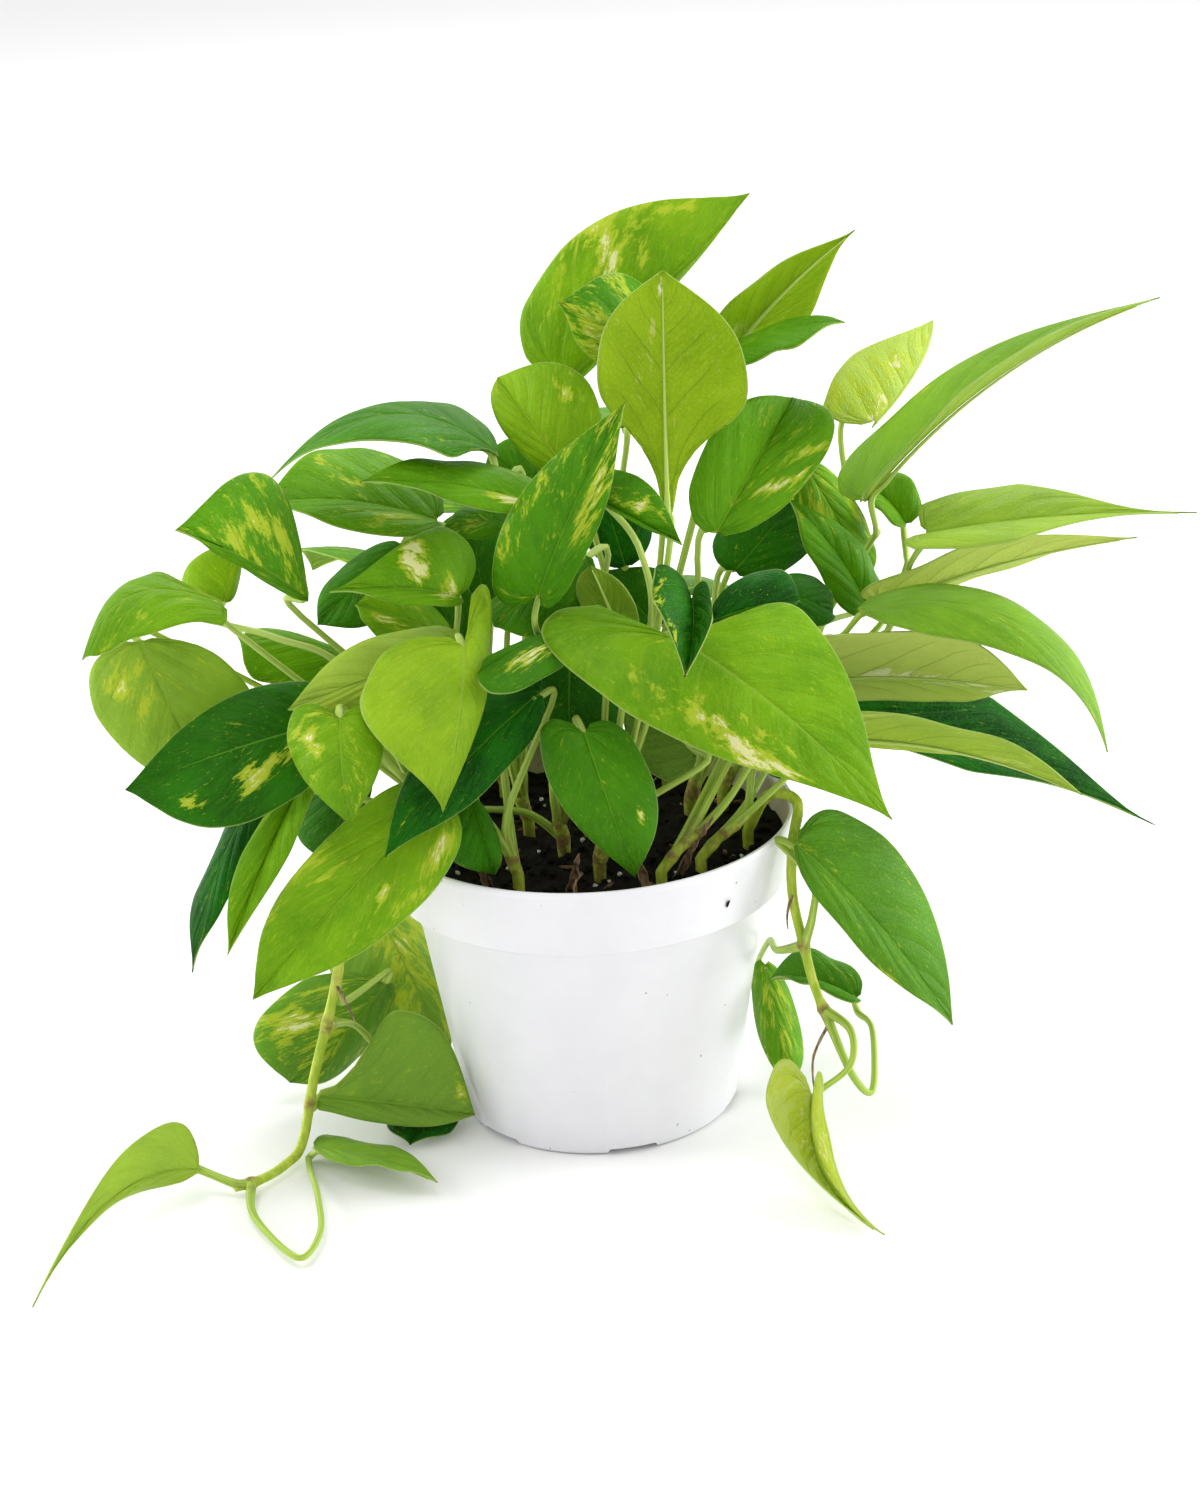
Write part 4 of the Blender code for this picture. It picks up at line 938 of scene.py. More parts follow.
def pot_material():
    """White moulded plastic: a soft sheen, a fine skin, light scuffs, and soil dust on the inner wall."""
    made, n, shader, _ = principled("white_plastic")
    where = n.add("ShaderNodeSeparateXYZ")
    n.set(where.inputs[0], n.place())
    x, y, z = where.outputs
    slope = (RIM_RADIUS - BAND_FOOT_RADIUS) / (POT_HEIGHT - BAND_FOOT_HEIGHT)
    wall = n.times(n.minus(z, BAND_FOOT_HEIGHT * MM), slope)
    wall = n.plus(wall, (BAND_FOOT_RADIUS - 0.6 * WALL) * MM)
    radius = n.math("SQRT", n.plus(n.math("POWER", x, 2.0), n.math("POWER", y, 2.0)))
    inside = n.between(n.minus(wall, radius), *INNER_WALL_EDGE)
    inside = n.times(inside, n.between(z, *DUST_FROM))
    cloud = n.noise(n.place(), *POT_CLOUD)
    dirt = n.times(inside, n.times(n.between(z, *DUST_TO), n.between(cloud, 0.2, 0.5)))
    dust = n.between(n.noise(n.place(), *POT_DUST), 0.62, 0.7)
    scuff = n.between(n.noise(n.place(SCUFF_STRETCH), *POT_SCUFF), 0.66, 0.74)
    marks = n.between(n.noise(n.place(), *POT_MARKS), 0.755, 0.775)
    colour = n.mix(n.between(cloud, 0.3, 0.7), *POT_WHITES)
    colour = n.mix(n.times(scuff, 0.10), colour, SCUFFED)
    colour = n.mix(n.times(dirt, 0.85), colour, WALL_DIRT)
    colour = n.mix(n.times(inside, n.times(dust, 0.7)), colour, SOIL_DUST)
    colour = n.mix(n.times(marks, 0.7), colour, POT_MARK)
    rough = n.plus(n.between(cloud, 0.3, 0.7, 0.30, 0.38), n.times(n.plus(dirt, scuff), 0.25))
    n.finish(shader, colour, rough, n.noise(n.place(), *POT_SKIN), POT_RELIEF)
    return made


def ground_material(name, dark, light, roughness, pattern):
    """Soil, perlite or bark: two shades in grains, rough all over."""
    made, n, shader, _ = principled(name)
    grain = n.noise(n.place(), *pattern)
    rough = n.between(grain, 0.3, 0.7, roughness - ROUGH_SPREAD, roughness)
    colour = n.mix(n.between(grain, 0.35, 0.68), dark, light)
    n.finish(shader, colour, rough, grain, GROUND_RELIEF, GROUND_SHINE)
    return made


groups = {"marbling": marbling_group(), "veins": veins_group()}
materials = {
    "leaf_upper": leaf_material("leaf_upper", UPPER_FACE),
    "leaf_under": leaf_material("leaf_under", UNDER_FACE),
    "stalk": stalk_material(),
    "stem": stem_material(),
    "dry": dry_material(),
    "pot": pot_material(),
    "soil": ground_material("potting_soil", *SOIL_SHADES, SOIL_ROUGH, SOIL_GRAIN),
    "perlite": ground_material("perlite", *PERLITE_SHADES, PERLITE_ROUGH, PERLITE_GRAIN),
    "bark": ground_material("bark", *BARK_SHADES, BARK_ROUGH, BARK_GRAIN),
}


def unit(vector):
    return vector / np.linalg.norm(vector)


def smooth(points, count):
    """Count points along a curve that runs through all of these."""
    points = np.array(points, float)
    points = np.vstack([2 * points[0] - points[1], points, 2 * points[-1] - points[-2]])
    spans = len(points) - 3
    place = np.linspace(0, spans, count)
    k = np.minimum(place.astype(int), spans - 1)
    t = (place - k)[:, None]
    a, b, c, d = points[k], points[k + 1], points[k + 2], points[k + 3]
    return 0.5 * (2 * b + (c - a) * t + (2 * a - 5 * b + 4 * c - d) * t**2 + (3 * b - a - 3 * c + d) * t**3)


def run_of(line):
    """How far each point of a line is from its start."""
    return np.concatenate([[0], np.cumsum(np.linalg.norm(np.diff(line, axis=0), axis=1))])


def hump(distance, width):
    """1 at no distance, falling away softly on both sides over this width."""
    return np.exp(-((distance / width) ** 2))


def start_fresh():
    """Leaves nothing selected, so that an operator touches only what it makes."""
    bpy.ops.object.select_all(action="DESELECT")


def make_active(obj):
    start_fresh()
    obj.select_set(True)
    bpy.context.view_layer.objects.active = obj


def linked(name, data):
    """A new object in the scene."""
    made = bpy.data.objects.new(name, data)
    bpy.context.scene.collection.objects.link(made)
    return made


def drawn_mesh(name, verts, faces, material):
    """A new object from points in millimetres and its faces."""
    mesh = bpy.data.meshes.new(name)
    mesh.from_pydata((MM * np.array(verts)).tolist(), [], faces)
    mesh.materials.append(material)
    mesh.update()
    return linked(name, mesh)


def join(pieces, name):
    """Many pieces made one."""
    make_active(pieces[0])
    for piece in pieces:
        piece.select_set(True)
    bpy.ops.object.join()
    joined = bpy.context.view_layer.objects.active
    joined.name = name
    joined.data.name = name
    return joined


def note(obj, name, values):
    """Keeps a number at each vertex, for the materials."""
    kept = obj.data.attributes.new(name, "FLOAT", "POINT")
    kept.data.foreach_set("value", np.broadcast_to(values, len(kept.data)).astype(np.float32))


def modify(obj, kind, **settings):
    """One modifier with these settings, applied at once."""
    added = obj.modifiers.new(kind, kind)
    for key, value in settings.items():
        setattr(added, key, value)
    make_active(obj)
    bpy.ops.object.modifier_apply(modifier=added.name)


def smooth_shaded(obj):
    make_active(obj)
    bpy.ops.object.shade_smooth()
    return obj


def welded(obj):
    """Makes one of the vertices that lie in the same place."""
    make_active(obj)
    bpy.ops.object.mode_set(mode="EDIT")
    bpy.ops.mesh.select_all(action="SELECT")
    bpy.ops.mesh.remove_doubles(threshold=MERGE_DISTANCE * MM)
    bpy.ops.object.mode_set(mode="OBJECT")


class Leaf:
    """One leaf's bent surface, from its flat outline."""

    def __init__(self, made, phase):
        self.made = made
        self.phase = phase
        self.look = LOOKS.get(made["name"], PLAIN_LOOK)
        self.seat, self.tip = spot(*made["seat"]), spot(*made["tip"])
        a, b = spot(*made["sides"][0]), spot(*made["sides"][1])
        self.chord = self.tip - self.seat
        self.length = np.linalg.norm(self.chord)
        face = unit(np.cross(b - a, self.chord))
        if (face @ (EYE - self.seat) > 0) != (made["shows"] == "upper"):
            face = -face
        self.face = face
        if made["mid"] is None:
            self.bulge = face * made["arch"]
        else:
            self.bulge = spot(*made["mid"]) - (self.seat + self.tip) / 2
        broad = self.rib(np.array([made["broad"]]))[0]
        self.halves = np.array([a - broad, b - broad])
        self.width = np.linalg.norm(self.halves, axis=1).mean()
        self.stretch = math.log(made["broad"]) / math.log(OUTLINE_BROADEST)

    def rib(self, u):
        """The midrib's points, from the seat at 0 to the tip at 1, and a little behind the seat below 0."""
        u = np.asarray(u, float)[..., None]
        ahead = self.seat + self.chord * u + self.bulge * 4 * u * (1 - u)
        behind = self.seat + (self.chord + 4 * self.bulge) * u
        return np.where(u < 0, behind, ahead)

    def rib_normal(self, u):
        """The way the upper face looks beside the midrib."""
        along = self.rib(u + 0.01) - self.rib(u)
        normal = np.cross(self.halves[1] - self.halves[0], along)
        normal /= np.linalg.norm(normal, axis=-1)[..., None]
        return normal * np.sign(normal @ self.face)[..., None]

    def outline(self, half):
        """The flat outline of one half, with its lobe run back or filled in."""
        lobe = self.made["lobes"][half]
        found = []
        for (u, wide), share in zip(OUTLINE, LOBE_SHARES):
            if lobe > DRAWN_LOBE:
                u -= (lobe - DRAWN_LOBE) * share
            elif u < 0:
                u += (NOTCH_EDGE * wide - u) * (DRAWN_LOBE - lobe) / NOTCH_FILL
            found.append((u, wide, 0.0))
        return found

    def bend(self, half, t, s, u, reach):
        """How far the surface stands off: domed, waved, ruffled, quilted, and dented at the midrib."""
        off = WAVE * reach**2 * np.sin(WAVE_TURNS * u + self.phase + 2.0 * half)
        off += DOME * np.sin(np.pi * np.minimum(reach, 1.0))
        off += RUFFLE * reach**4 * np.sin(RUFFLE_TURNS * t + 2 * self.phase + half)
        pillow = np.abs(np.sin(np.pi * SIDE_VEINS * (t - VEIN_LEAN * s))) ** QUILT_POWER
        inner = np.sin(np.pi * np.clip(s, 0, 1)) ** QUILT_POWER * (1 - t) ** QUILT_FADE
        off += QUILTING * self.width * (pillow - QUILT_MIDDLE) * inner
        return off - RIB_DENT * hump(reach * self.width, RIB_DENT_WIDTH) * (1 - t)

    def surface(self, along, across):
        """Points of the leaf: along from the notch at 0 to the tip at 1, across from -1 to 1."""
        made = self.made
        steps = np.linspace(0, 1, OUTLINE_POINTS)
        ribs = smooth([(r, 0.0, 0.0) for r in RIB_STATIONS], OUTLINE_POINTS)[:, 0]
        found = np.zeros((*along.shape, 3))
        for half in (0, 1):
            edge = smooth(self.outline(half), OUTLINE_POINTS)
            here = across <= 0 if half == 0 else across > 0
            t, s = along[here], np.abs(across[here])
            rib = np.interp(t, steps, ribs)
            u = rib + (np.interp(t, steps, edge[:, 0]) - rib) * s
            reach = np.clip(np.interp(t, steps, edge[:, 1]), 0, None) * s
            u = np.where(u > 0, np.abs(u) ** self.stretch, u)
            past = np.clip((1 - u) / (1 - made["broad"]), 0, 1)
            reach = np.where(u > made["broad"], reach * past ** (made["taper"][half] - 1), reach)
            off = self.bend(half, t, s, u, reach)
            found[here] = self.rib(u) + self.halves[half] * reach[:, None] + self.face * off[:, None]
        return found


def leaf_blade(leaf, seed):
    """A flat grid bent into the leaf, then given its thickness."""
    rows, columns = next(grid for least, *grid in BLADE_GRIDS if leaf.length > least)
    start_fresh()
    bpy.ops.mesh.primitive_grid_add(x_subdivisions=rows, y_subdivisions=columns, size=2, calc_uvs=True)
    blade = bpy.context.active_object
    flat = np.empty(3 * len(blade.data.vertices), np.float32)
    blade.data.vertices.foreach_get("co", flat)
    flat = flat.reshape(-1, 3).astype(float)
    along = (flat[:, 0] + 1) / 2
    across = np.sign(flat[:, 1]) * np.abs(flat[:, 1]) ** COLUMN_CROWDING
    points = leaf.surface(along, across)
    blade.data.vertices.foreach_set("co", (MM * points).astype(np.float32).ravel())
    pale = np.zeros(len(along))
    for t, s, long, wide, strength in leaf.look["marks"]:
        pale += strength * hump(along - t, long) * hump(across - s, wide)
    note(blade, "along", along)
    note(blade, "across", across)
    note(blade, "pale", pale)
    note(blade, "seed", seed)
    for name in ("gold", "tone_and_painted_shade", "wash_and_painted_light"):
        note(blade, name, leaf.look[name])
    blade.data.materials.append(materials["leaf_upper"])
    blade.data.materials.append(materials["leaf_under"])
    welded(blade)
    blade.data.update()
    looking = sum((face.normal * face.area for face in blade.data.polygons), Vector())
    if np.array(looking) @ leaf.face < 0:
        blade.data.flip_normals()
    wall = dict(thickness=BLADE_THICKNESS * MM, offset=0.0, material_offset=1, material_offset_rim=0)
    modify(blade, "SOLIDIFY", **wall)
    return smooth_shaded(blade)


def ring_faces(count, sides, first, last):
    """The faces of a rod: its side, ring by ring, and the fans that close its two ends."""
    faces = []
    for i in range(count - 1):
        for k in range(sides):
            n = (k + 1) % sides
            faces.append((i * sides + n, i * sides + k, (i + 1) * sides + k, (i + 1) * sides + n))
    for k in range(sides):
        n = (k + 1) % sides
        faces.append((first, k, n))
        faces.append((last, (count - 1) * sides + n, (count - 1) * sides + k))
    return faces


def rod(name, line, radii, sides, material, facing=(0.3, 1.0, 0.2), groove=0.0):
    """A closed round rod along a line. A groove runs down the side that faces facing."""
    line = np.array(line, float)
    count = len(line)
    ahead = np.gradient(line, axis=0)
    ahead /= np.linalg.norm(ahead, axis=1)[:, None]
    up = np.array(facing, float)
    ring_up = []
    for k in range(count - 1, -1, -1):
        up = unit(up - ahead[k] * (up @ ahead[k]))
        ring_up.append(up)
    ring_up = np.array(ring_up[::-1])
    ring_side = np.cross(ahead, ring_up)
    angle = 2 * np.pi * np.arange(sides) / sides
    dip = 1 - groove * hump(np.minimum(angle, 2 * np.pi - angle), GROOVE_WIDTH)
    reach = np.asarray(radii, float)[:, None] * dip
    rise, swing = np.cos(angle)[None, :, None], np.sin(angle)[None, :, None]
    rings = line[:, None] + reach[..., None] * (rise * ring_up[:, None] + swing * ring_side[:, None])
    near_end = line[0] - ahead[0] * ROD_START * radii[0]
    far_end = line[-1] + ahead[-1] * ROD_END * radii[-1]
    verts = np.vstack([rings.reshape(-1, 3), near_end, far_end])
    faces = ring_faces(count, sides, len(verts) - 2, len(verts) - 1)
    made = drawn_mesh(name, verts, faces, material)
    mesh = made.data
    length = run_of(line)
    share = np.concatenate([np.repeat(length / length[-1], sides), [0, 1]])
    around = np.concatenate([np.tile(np.arange(sides) / sides, count), [0, 0]])
    corner = np.empty(len(mesh.loops), np.int32)
    mesh.loops.foreach_get("vertex_index", corner)
    uv = np.stack([around[corner], share[corner]], axis=1)
    mesh.uv_layers.new(name="UVMap").data.foreach_set("uv", uv.astype(np.float32).ravel())
    note(made, "along", share)
    if np.linalg.det(np.array([verts[list(f[:3])] for f in faces])).sum() < 0:
        mesh.flip_normals()
    return smooth_shaded(made)


def stalk(leaf, start, grown):
    """A leaf's stalk, from its sheath on the stem to a thicker knee, then on as the raised midrib."""
    via = [spot(*p) for p in leaf.made["via"]]
    seat_normal = leaf.rib_normal(np.array([0.0]))[0]
    arrive = unit(ARRIVE_AHEAD * unit(leaf.chord) + ARRIVE_UP * seat_normal)
    span = np.linalg.norm(leaf.seat - start)
    rise = start + RISE_SHARE * span * unit(grown + RISE_LEAN * unit(leaf.seat - start))
    bend = via if via else [rise]
    under = STALK_UNDER * seat_normal
    knee_point = leaf.seat - arrive * min(ARRIVE_REACH, ARRIVE_SHARE * span) - under
    beyond = leaf.rib(np.array([PAST_SEAT]))[0] - under
    count = STALK_POINTS + POINTS_PER_VIA * len(via)
    line = smooth([start, *bend, knee_point, leaf.seat - under, beyond], count)
    length = run_of(line)
    radii = np.linspace(STALK_RADIUS, STALK_TIP_RADIUS, count)
    radii += SHEATH_SWELL * np.exp(-length / SHEATH_LENGTH)
    radii += KNEE_SWELL * hump(length[-1] - KNEE_PLACE - length, KNEE_LENGTH)
    u = np.linspace(*RIDGE_SPAN, RIDGE_POINTS)
    slim = np.linspace(*RIDGE_RADII, RIDGE_POINTS)
    below = RIDGE_LIFT + RIB_DENT * (1 - u) + RIDGE_SINK * slim
    line = np.vstack([line, leaf.rib(u) - leaf.rib_normal(u) * below[:, None]])
    radii = np.concatenate([radii, slim])
    line[:, 2] = np.maximum(line[:, 2], radii)
    name = leaf.made["name"] + "_stalk"
    return rod(name, line, radii, STALK_SIDES, materials["stalk"], seat_normal, STALK_GROOVE)


def settle(piece, slot_name, *nodes):
    """A finished piece rides on the plant's one body, and stands for these nodes."""
    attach(piece, "root")
    if nodes:
        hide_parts(*nodes)
    return piece


def build_vine(vine, order):
    """One vine as one piece: its stem, and each leaf on the stalk that leaves the stem at its own share."""
    x, y = vine["root"]
    further = [np.array(p, float) for p in vine["stem"]]
    line = smooth([np.array([x, y, STEM_SOIL_EXIT]), *further], STEM_POINTS_PER_SPAN * len(further) + 1)
    whole = np.vstack([[x, y, STEM_FOOT], [x, y, 0.5 * (STEM_FOOT + STEM_SOIL_EXIT)], line])
    length = run_of(line)
    radii = np.linspace(STEM_RADIUS, STEM_TAPER * STEM_RADIUS, len(line))
    cork = np.zeros(len(line))
    pieces = []
    for k, made in enumerate(vine["leaves"]):
        leaf = Leaf(made, PHASE_STEP * (order + k))
        at = made["at"] if made["at"] is not None else (k + 1) / len(vine["leaves"])
        place = min(at, STALK_LAST) * (len(line) - 1)
        low = int(place)
        grown = line[low + 1] - line[low]
        ring = length[low] + (length[low + 1] - length[low]) * (place - low)
        near = hump(length - ring, RING_LENGTH)
        radii = radii + RING_SWELL * near
        cork = np.maximum(cork, near)
        pieces.append(leaf_blade(leaf, order + k + 1.0))
        pieces.append(stalk(leaf, line[low] + grown * (place - low), unit(grown)))
    radii = np.concatenate([[STEM_RADIUS, STEM_RADIUS], radii])
    stem = rod(vine["name"] + "_stem", whole, radii, STEM_SIDES, materials["stem"])
    note(stem, "cork", np.concatenate([np.repeat([1.0, 1.0, *cork], STEM_SIDES), [1.0, 1.0]]))
    return settle(join([stem, *pieces], vine["name"] + "_greenery"), "leaf", vine["name"])


def spun(name, profile, steps, material):
    """A closed profile of (radius, height) turned round the pot's axis with the spin operator."""
    mesh = bpy.data.meshes.new(name)
    verts = [(MM * radius, 0.0, MM * height) for radius, height in profile]
    mesh.from_pydata(verts, [(i, i + 1) for i in range(len(verts) - 1)], [])
    made = linked(name, mesh)
    make_active(made)
    bpy.ops.object.mode_set(mode="EDIT")
    bpy.ops.mesh.select_all(action="SELECT")
    bpy.ops.mesh.spin(steps=steps, angle=2 * math.pi, center=(0, 0, 0), axis=(0, 0, 1))
    bpy.ops.mesh.select_all(action="SELECT")
    bpy.ops.mesh.remove_doubles(threshold=0.5 * MERGE_DISTANCE * MM)
    bpy.ops.mesh.normals_make_consistent(inside=False)
    bpy.ops.object.mode_set(mode="OBJECT")
    made.data.materials.append(material)
    return made


def inner_wall(height):
    """The radius of the pot's inside below its band."""
    return BASE_RADIUS + (BODY_TOP_RADIUS - BASE_RADIUS) * height / BAND_FOOT_HEIGHT - WALL


def cut(piece, cutter):
    modify(piece, "BOOLEAN", operation="DIFFERENCE", solver="EXACT", object=cutter)
    bpy.data.objects.remove(cutter)


def notch_cutter(outward, angle):
    """A rounded block across the foot ring."""
    start_fresh()
    place = MM * (BASE_RADIUS - 1.5) * outward
    bpy.ops.mesh.primitive_cube_add(size=1.0, location=place, rotation=(0, 0, angle))
    cutter = bpy.context.active_object
    cutter.scale = (MM * NOTCH_DEPTH, MM * NOTCH_WIDTH, 2 * MM * NOTCH_HEIGHT)
    bpy.ops.object.transform_apply(location=False, rotation=False, scale=True)
    modify(cutter, "BEVEL", width=NOTCH_ROUNDING * MM, segments=3)
    return cutter


def drain_cutter(outward):
    """A round pin through the floor."""
    start_fresh()
    place = MM * (DRAIN_CIRCLE * outward + Vector((0, 0, 3.5)))
    round_pin = dict(vertices=DRAIN_SIDES, radius=MM * DRAIN_RADIUS, depth=MM * 8.0)
    bpy.ops.mesh.primitive_cylinder_add(location=place, **round_pin)
    return bpy.context.active_object


def build_pot():
    """The pot: a turned shell with drainage notches and holes, its edges rounded."""
    foot_inside = BASE_RADIUS - FOOT_RING_WIDTH
    profile = (
        (0.0, 0.0),
        (PAD_RADIUS, 0.0),
        (PAD_RADIUS + 1.0, FLOOR_UNDER),
        (foot_inside, FLOOR_UNDER),
        (foot_inside + 0.6, 0.0),
        (BASE_RADIUS - 1.0, 0.0),
        (BASE_RADIUS, 1.2),
        (BODY_TOP_RADIUS - 0.6, BAND_FOOT_HEIGHT - 0.6),
        (BAND_FOOT_RADIUS - 1.4, BAND_FOOT_HEIGHT + 0.6),
        (BAND_FOOT_RADIUS, BAND_FOOT_HEIGHT + 1.6),
        (RIM_RADIUS - 0.6, POT_HEIGHT - 3.4),
        (RIM_RADIUS, POT_HEIGHT - 2.6),
        (RIM_RADIUS, POT_HEIGHT - 0.8),
        (RIM_RADIUS - 0.5, POT_HEIGHT),
        (RIM_RADIUS - WALL, POT_HEIGHT),
        (RIM_RADIUS - WALL - 0.3, POT_HEIGHT - 0.5),
        (BAND_FOOT_RADIUS - WALL, BAND_FOOT_HEIGHT + 3.6),
        (inner_wall(BAND_FOOT_HEIGHT), BAND_FOOT_HEIGHT + 1.6),
        (inner_wall(FLOOR_TOP + 1.5), FLOOR_TOP + 1.5),
        (inner_wall(FLOOR_TOP) - 2.0, FLOOR_TOP),
        (0.0, FLOOR_TOP),
    )
    pot = spun("pot_shell", profile, POT_STEPS, materials["pot"])
    for k in range(NOTCH_COUNT):
        angle = 2 * math.pi * (k + 0.2) / NOTCH_COUNT - math.pi / 2
        outward = Vector((math.cos(angle), math.sin(angle), 0.0))
        cut(pot, notch_cutter(outward, angle))
        cut(pot, drain_cutter(outward))
    modify(pot, "BEVEL", width=POT_EDGE * MM, segments=2, limit_method="ANGLE", angle_limit=POT_EDGE_ANGLE)
    bpy.ops.object.shade_smooth_by_angle(angle=POT_SMOOTH_ANGLE)
    return settle(pot, "pot_plastic", "pot")


def soil_height(x, y):
    """The soil's broad lumps."""
    a, b, c, d = LUMP_TURNS
    lumps = math.sin(a * x + 0.5) * math.cos(b * y) + 0.6 * math.sin(c * x - d * y)
    return SOIL_TOP + SOIL_LUMP * 0.6 * lumps


def soil_edge():
    """The radius where the soil's top meets the band."""
    share = (SOIL_TOP - BAND_FOOT_HEIGHT) / (POT_HEIGHT - BAND_FOOT_HEIGHT)
    return BAND_FOOT_RADIUS + (RIM_RADIUS - BAND_FOOT_RADIUS) * share - WALL - 0.5


def build_soil():
    """The soil, which fills the pot, with a lumpy and crumbly top."""
    edge = soil_edge()
    profile = [
        (0.0, FLOOR_TOP + 0.4),
        (inner_wall(FLOOR_TOP) - 3.0, FLOOR_TOP + 0.4),
        (inner_wall(FLOOR_TOP + 3.0) - 0.8, FLOOR_TOP + 3.0),
        (inner_wall(BAND_FOOT_HEIGHT) - 0.8, BAND_FOOT_HEIGHT + 1.9),
        (BAND_FOOT_RADIUS - WALL - 1.0, BAND_FOOT_HEIGHT + 5.0),
        (edge, SOIL_TOP - 1.5),
    ]
    profile += [(edge * (1 - k / SOIL_RINGS), SOIL_TOP) for k in range(SOIL_RINGS + 1)]
    soil = spun("soil_fill", profile, SOIL_STEPS, materials["soil"])
    for vert in soil.data.vertices:
        x, y, z = (c / MM for c in vert.co)
        if z < SOIL_TOP - 0.5:
            continue
        crumbs = noise.fractal(Vector((CRUMB_TURNS * x, CRUMB_TURNS * y, 3.1)), *CRUMB_NOISE)
        vert.co.z = MM * (soil_height(x, y) + SOIL_CRUMB * crumbs)
    return settle(smooth_shaded(soil), "soil", "soil")


def ball(subdivisions):
    """A unit ball of triangles."""
    start_fresh()
    bpy.ops.mesh.primitive_ico_sphere_add(subdivisions=subdivisions, radius=1.0)
    return bpy.context.active_object


def scatter(name, material, count, sizes, stretch, seed):
    """Small broken lumps half sunk in the soil's top."""
    draw = random.Random(seed)
    first = ball(1)
    shape = np.array([v.co for v in first.data.vertices])
    faces = [tuple(f.vertices) for f in first.data.polygons]
    bpy.data.objects.remove(first)
    lumps, all_faces = [], []
    for k in range(count):
        radius = LUMP_SPREAD * soil_edge() * math.sqrt(draw.random())
        angle = draw.uniform(0, 2 * math.pi)
        x, y = radius * math.cos(angle), radius * math.sin(angle)
        size = draw.uniform(*sizes)
        turn = draw.uniform(0, 2 * math.pi)
        tilt = draw.uniform(-LUMP_TILT, LUMP_TILT)
        lump = shape * np.array([[draw.uniform(*LUMP_BROKEN)] for _ in shape]) * size * np.array(stretch)
        lump = lump @ np.array(Matrix.Rotation(tilt, 3, "X")).T
        lump = lump @ np.array(Matrix.Rotation(turn, 3, "Z")).T
        height = soil_height(x, y) + LUMP_RISE * size * stretch[2] + LUMP_LIFT
        lumps.append(lump + np.array([x, y, height]))
        all_faces += [tuple(k * len(shape) + i for i in face) for face in faces]
    return settle(drawn_mesh(name, np.vstack(lumps), all_faces, material), "soil")


# Dried sheaths at the foot of stalks: where each starts and ends, its width, and how far it curls round
SHEATHS = (
    ((-8, -48, 113), (-4, -56, 134), 3.2, 1.6),
    ((22, -52, 112), (17, -60, 138), 3.0, 1.4),
    ((34, -38, 112), (44, -46, 136), 3.4, 1.8),
    ((43, -43, 131), (49, -46, 141), 2.2, 1.5),
    ((-40, -38, 112), (-46, -44, 130), 3.0, 1.6),
)
SHEATH_THICKNESS = 0.3
# Dried air roots that hang from nodes of the trailing stems
AIR_ROOTS = (
    ((-103.4, -36.6, 71.5), (-101.0, -38.2, 67.5), (-98.6, -38.4, 61.0), (-96.6, -37.8, 54.0)),
    ((79.2, -41.4, 103.0), (77.6, -43.0, 99.0), (76.8, -43.2, 94.0), (77.0, -42.6, 89.0)),
    ((91.6, -52.0, 50.5), (88.0, -53.5, 45.0), (85.0, -53.6, 37.0), (84.6, -53.4, 29.0), (85.2, -53.0, 21.0)),
    ((-3.0, -50.0, 121.0), (-5.5, -53.0, 119.0), (-6.4, -54.5, 115.5), (-5.6, -55.0, 112.5)),
)
ROOT_RADIUS = 0.75
ROOT_POINTS = 16


def dry_sheath(start, end, width, curl, seed):
    """A papery strip that curls round a stalk and frays to a point."""
    start, end = np.array(start, float), np.array(end, float)
    start_fresh()
    bpy.ops.mesh.primitive_grid_add(x_subdivisions=14, y_subdivisions=8, size=2)
    made = bpy.context.active_object
    ahead = unit(end - start)
    side = unit(np.cross(ahead, [0.2, -1.0, 0.1]))
    out = np.cross(side, ahead)
    length = np.linalg.norm(end - start)
    for vert in made.data.vertices:
        t, s = (vert.co.x + 1) / 2, vert.co.y
        wide = width * (1 - t) ** 0.6 * (1 + 0.2 * math.sin(17 * t + seed))
        bend = curl * (1 - 0.4 * t)
        off = wide * (1 - math.cos(bend * s)) / bend
        off += 0.12 * length * t * t + 0.4 * math.sin(9 * t + 3 * s + seed)
        place = start + ahead * length * t + side * wide * math.sin(bend * s) / bend + out * off
        vert.co = Vector(MM * place)
    welded(made)
    modify(made, "SOLIDIFY", thickness=SHEATH_THICKNESS * MM)
    made.data.materials.append(materials["dry"])
    return smooth_shaded(made)


def build_dry_bits():
    """The dried sheaths and air roots, as one piece."""
    pieces = [dry_sheath(*sheath, k) for k, sheath in enumerate(SHEATHS)]
    knobs = 1 + 0.12 * np.sin(2.1 * np.arange(ROOT_POINTS))
    thin = ROOT_RADIUS * np.linspace(1.0, 0.4, ROOT_POINTS) * knobs
    for path in AIR_ROOTS:
        pieces.append(rod("air_root", smooth(path, ROOT_POINTS), thin, 8, materials["dry"]))
    return settle(join(pieces, "dry_sheaths"), "leaf")


def build_band_crumb():
    """A crumb of soil that sticks to the pot's band."""
    crumb = ball(2)
    crumb.name = "band_crumb"
    for vert in crumb.data.vertices:
        rough = 1 + CRUMB_ROUGH * noise.noise(vert.co * 1.7)
        vert.co = MM * (CRUMB_PLACE + CRUMB_STRETCH @ (vert.co * rough))
    crumb.data.materials.append(materials["soil"])
    return settle(crumb, "soil")


FLOOR_SIZE = 9.0
FLOOR_DROP = 0.0006
FLOOR_SHADE = (0.90, 0.90, 0.90, 1)
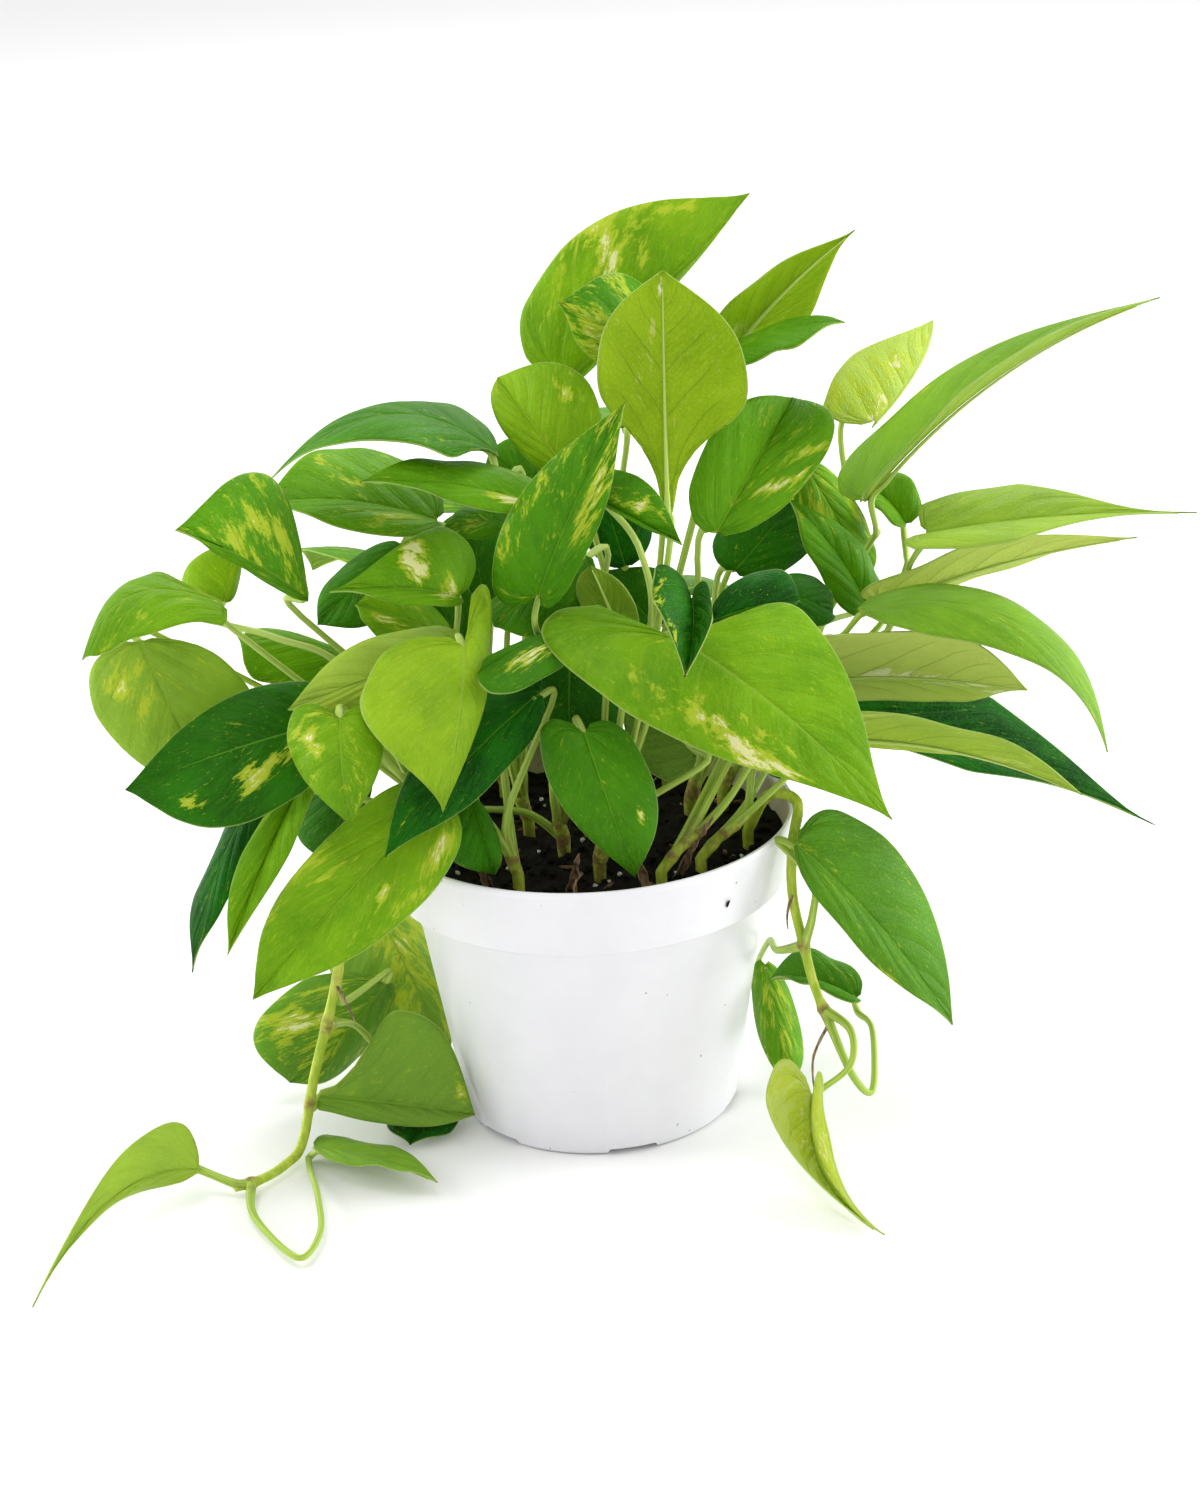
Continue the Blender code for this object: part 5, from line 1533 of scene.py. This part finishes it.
# Soft boxes: where each stands, its size, its power and its colour
LIGHTS = {
    "key": ((-0.5, -0.3, 2.2), 0.7, 12.0, (1.0, 0.99, 0.97)),
    "left": ((-1.8, 0.3, 0.5), 1.2, 26.0, (1.0, 1.0, 1.0)),
    "right": ((1.8, 0.3, 0.6), 1.2, 32.0, (0.98, 0.99, 1.0)),
    "back": ((0.5, 1.6, 1.6), 1.4, 20.0, (1.0, 1.0, 1.0)),
}
LIGHTS_AIM = Vector((0.0, 0.0, 0.15))
STUDIO_GLOW = 0.87
FILM_WIDTH = 36.0
LENS_LENGTH = 81.0
VIEW_END = 30.0


def build_stage():
    """A pale floor, four soft boxes and an even glow all round."""
    start_fresh()
    bpy.ops.mesh.primitive_plane_add(size=FLOOR_SIZE, location=(0, 0, -FLOOR_DROP))
    floor = bpy.context.active_object
    floor.name = "floor"
    pale, _, shader, _ = principled("floor")
    shader.inputs["Base Color"].default_value = FLOOR_SHADE
    shader.inputs["Roughness"].default_value = 0.9
    floor.data.materials.append(pale)
    for name, (place, size, power, colour) in LIGHTS.items():
        light = bpy.data.lights.new(name, "AREA")
        light.shape = "SQUARE"
        light.size = size
        light.energy = power
        light.color = colour
        lamp = linked(name, light)
        lamp.location = place
        lamp.rotation_euler = (LIGHTS_AIM - Vector(place)).to_track_quat("-Z", "Y").to_euler()
    world = bpy.data.worlds.new("studio")
    world.use_nodes = True
    glow = world.node_tree.nodes["Background"]
    glow.inputs["Color"].default_value = (1, 1, 1, 1)
    glow.inputs["Strength"].default_value = STUDIO_GLOW
    bpy.context.scene.world = world
    bpy.context.scene.view_settings.view_transform = "Standard"


def build_camera():
    """A camera where the viewer stands."""
    lens = bpy.data.cameras.new("camera")
    lens.sensor_width = FILM_WIDTH
    lens.lens = LENS_LENGTH
    lens.clip_end = VIEW_END
    camera = linked("camera", lens)
    matrix = np.eye(4)
    matrix[:3, :3] = np.array([VIEW_RIGHT, VIEW_UP, unit(EYE - VIEW_AIM)]).T
    matrix[:3, 3] = MM * EYE
    camera.matrix_world = Matrix(matrix.tolist())
    bpy.context.scene.camera = camera


def build_plant():
    order = 0
    for vine in VINES:
        build_vine(vine, order)
        order += len(vine["leaves"])


build_camera()
build_stage()
build_pot()
build_soil()
scatter("soil_crumbs", materials["soil"], CRUMB_COUNT, (0.8, 2.2), (1.0, 1.0, 0.8), 11)
scatter("perlite_grains", materials["perlite"], PERLITE_COUNT, (0.5, 1.3), (1.0, 1.0, 0.9), 23)
scatter("bark_slivers", materials["bark"], BARK_COUNT, (1.0, 2.0), (2.4, 0.8, 0.5), 37)
build_dry_bits()
build_band_crumb()
build_plant()
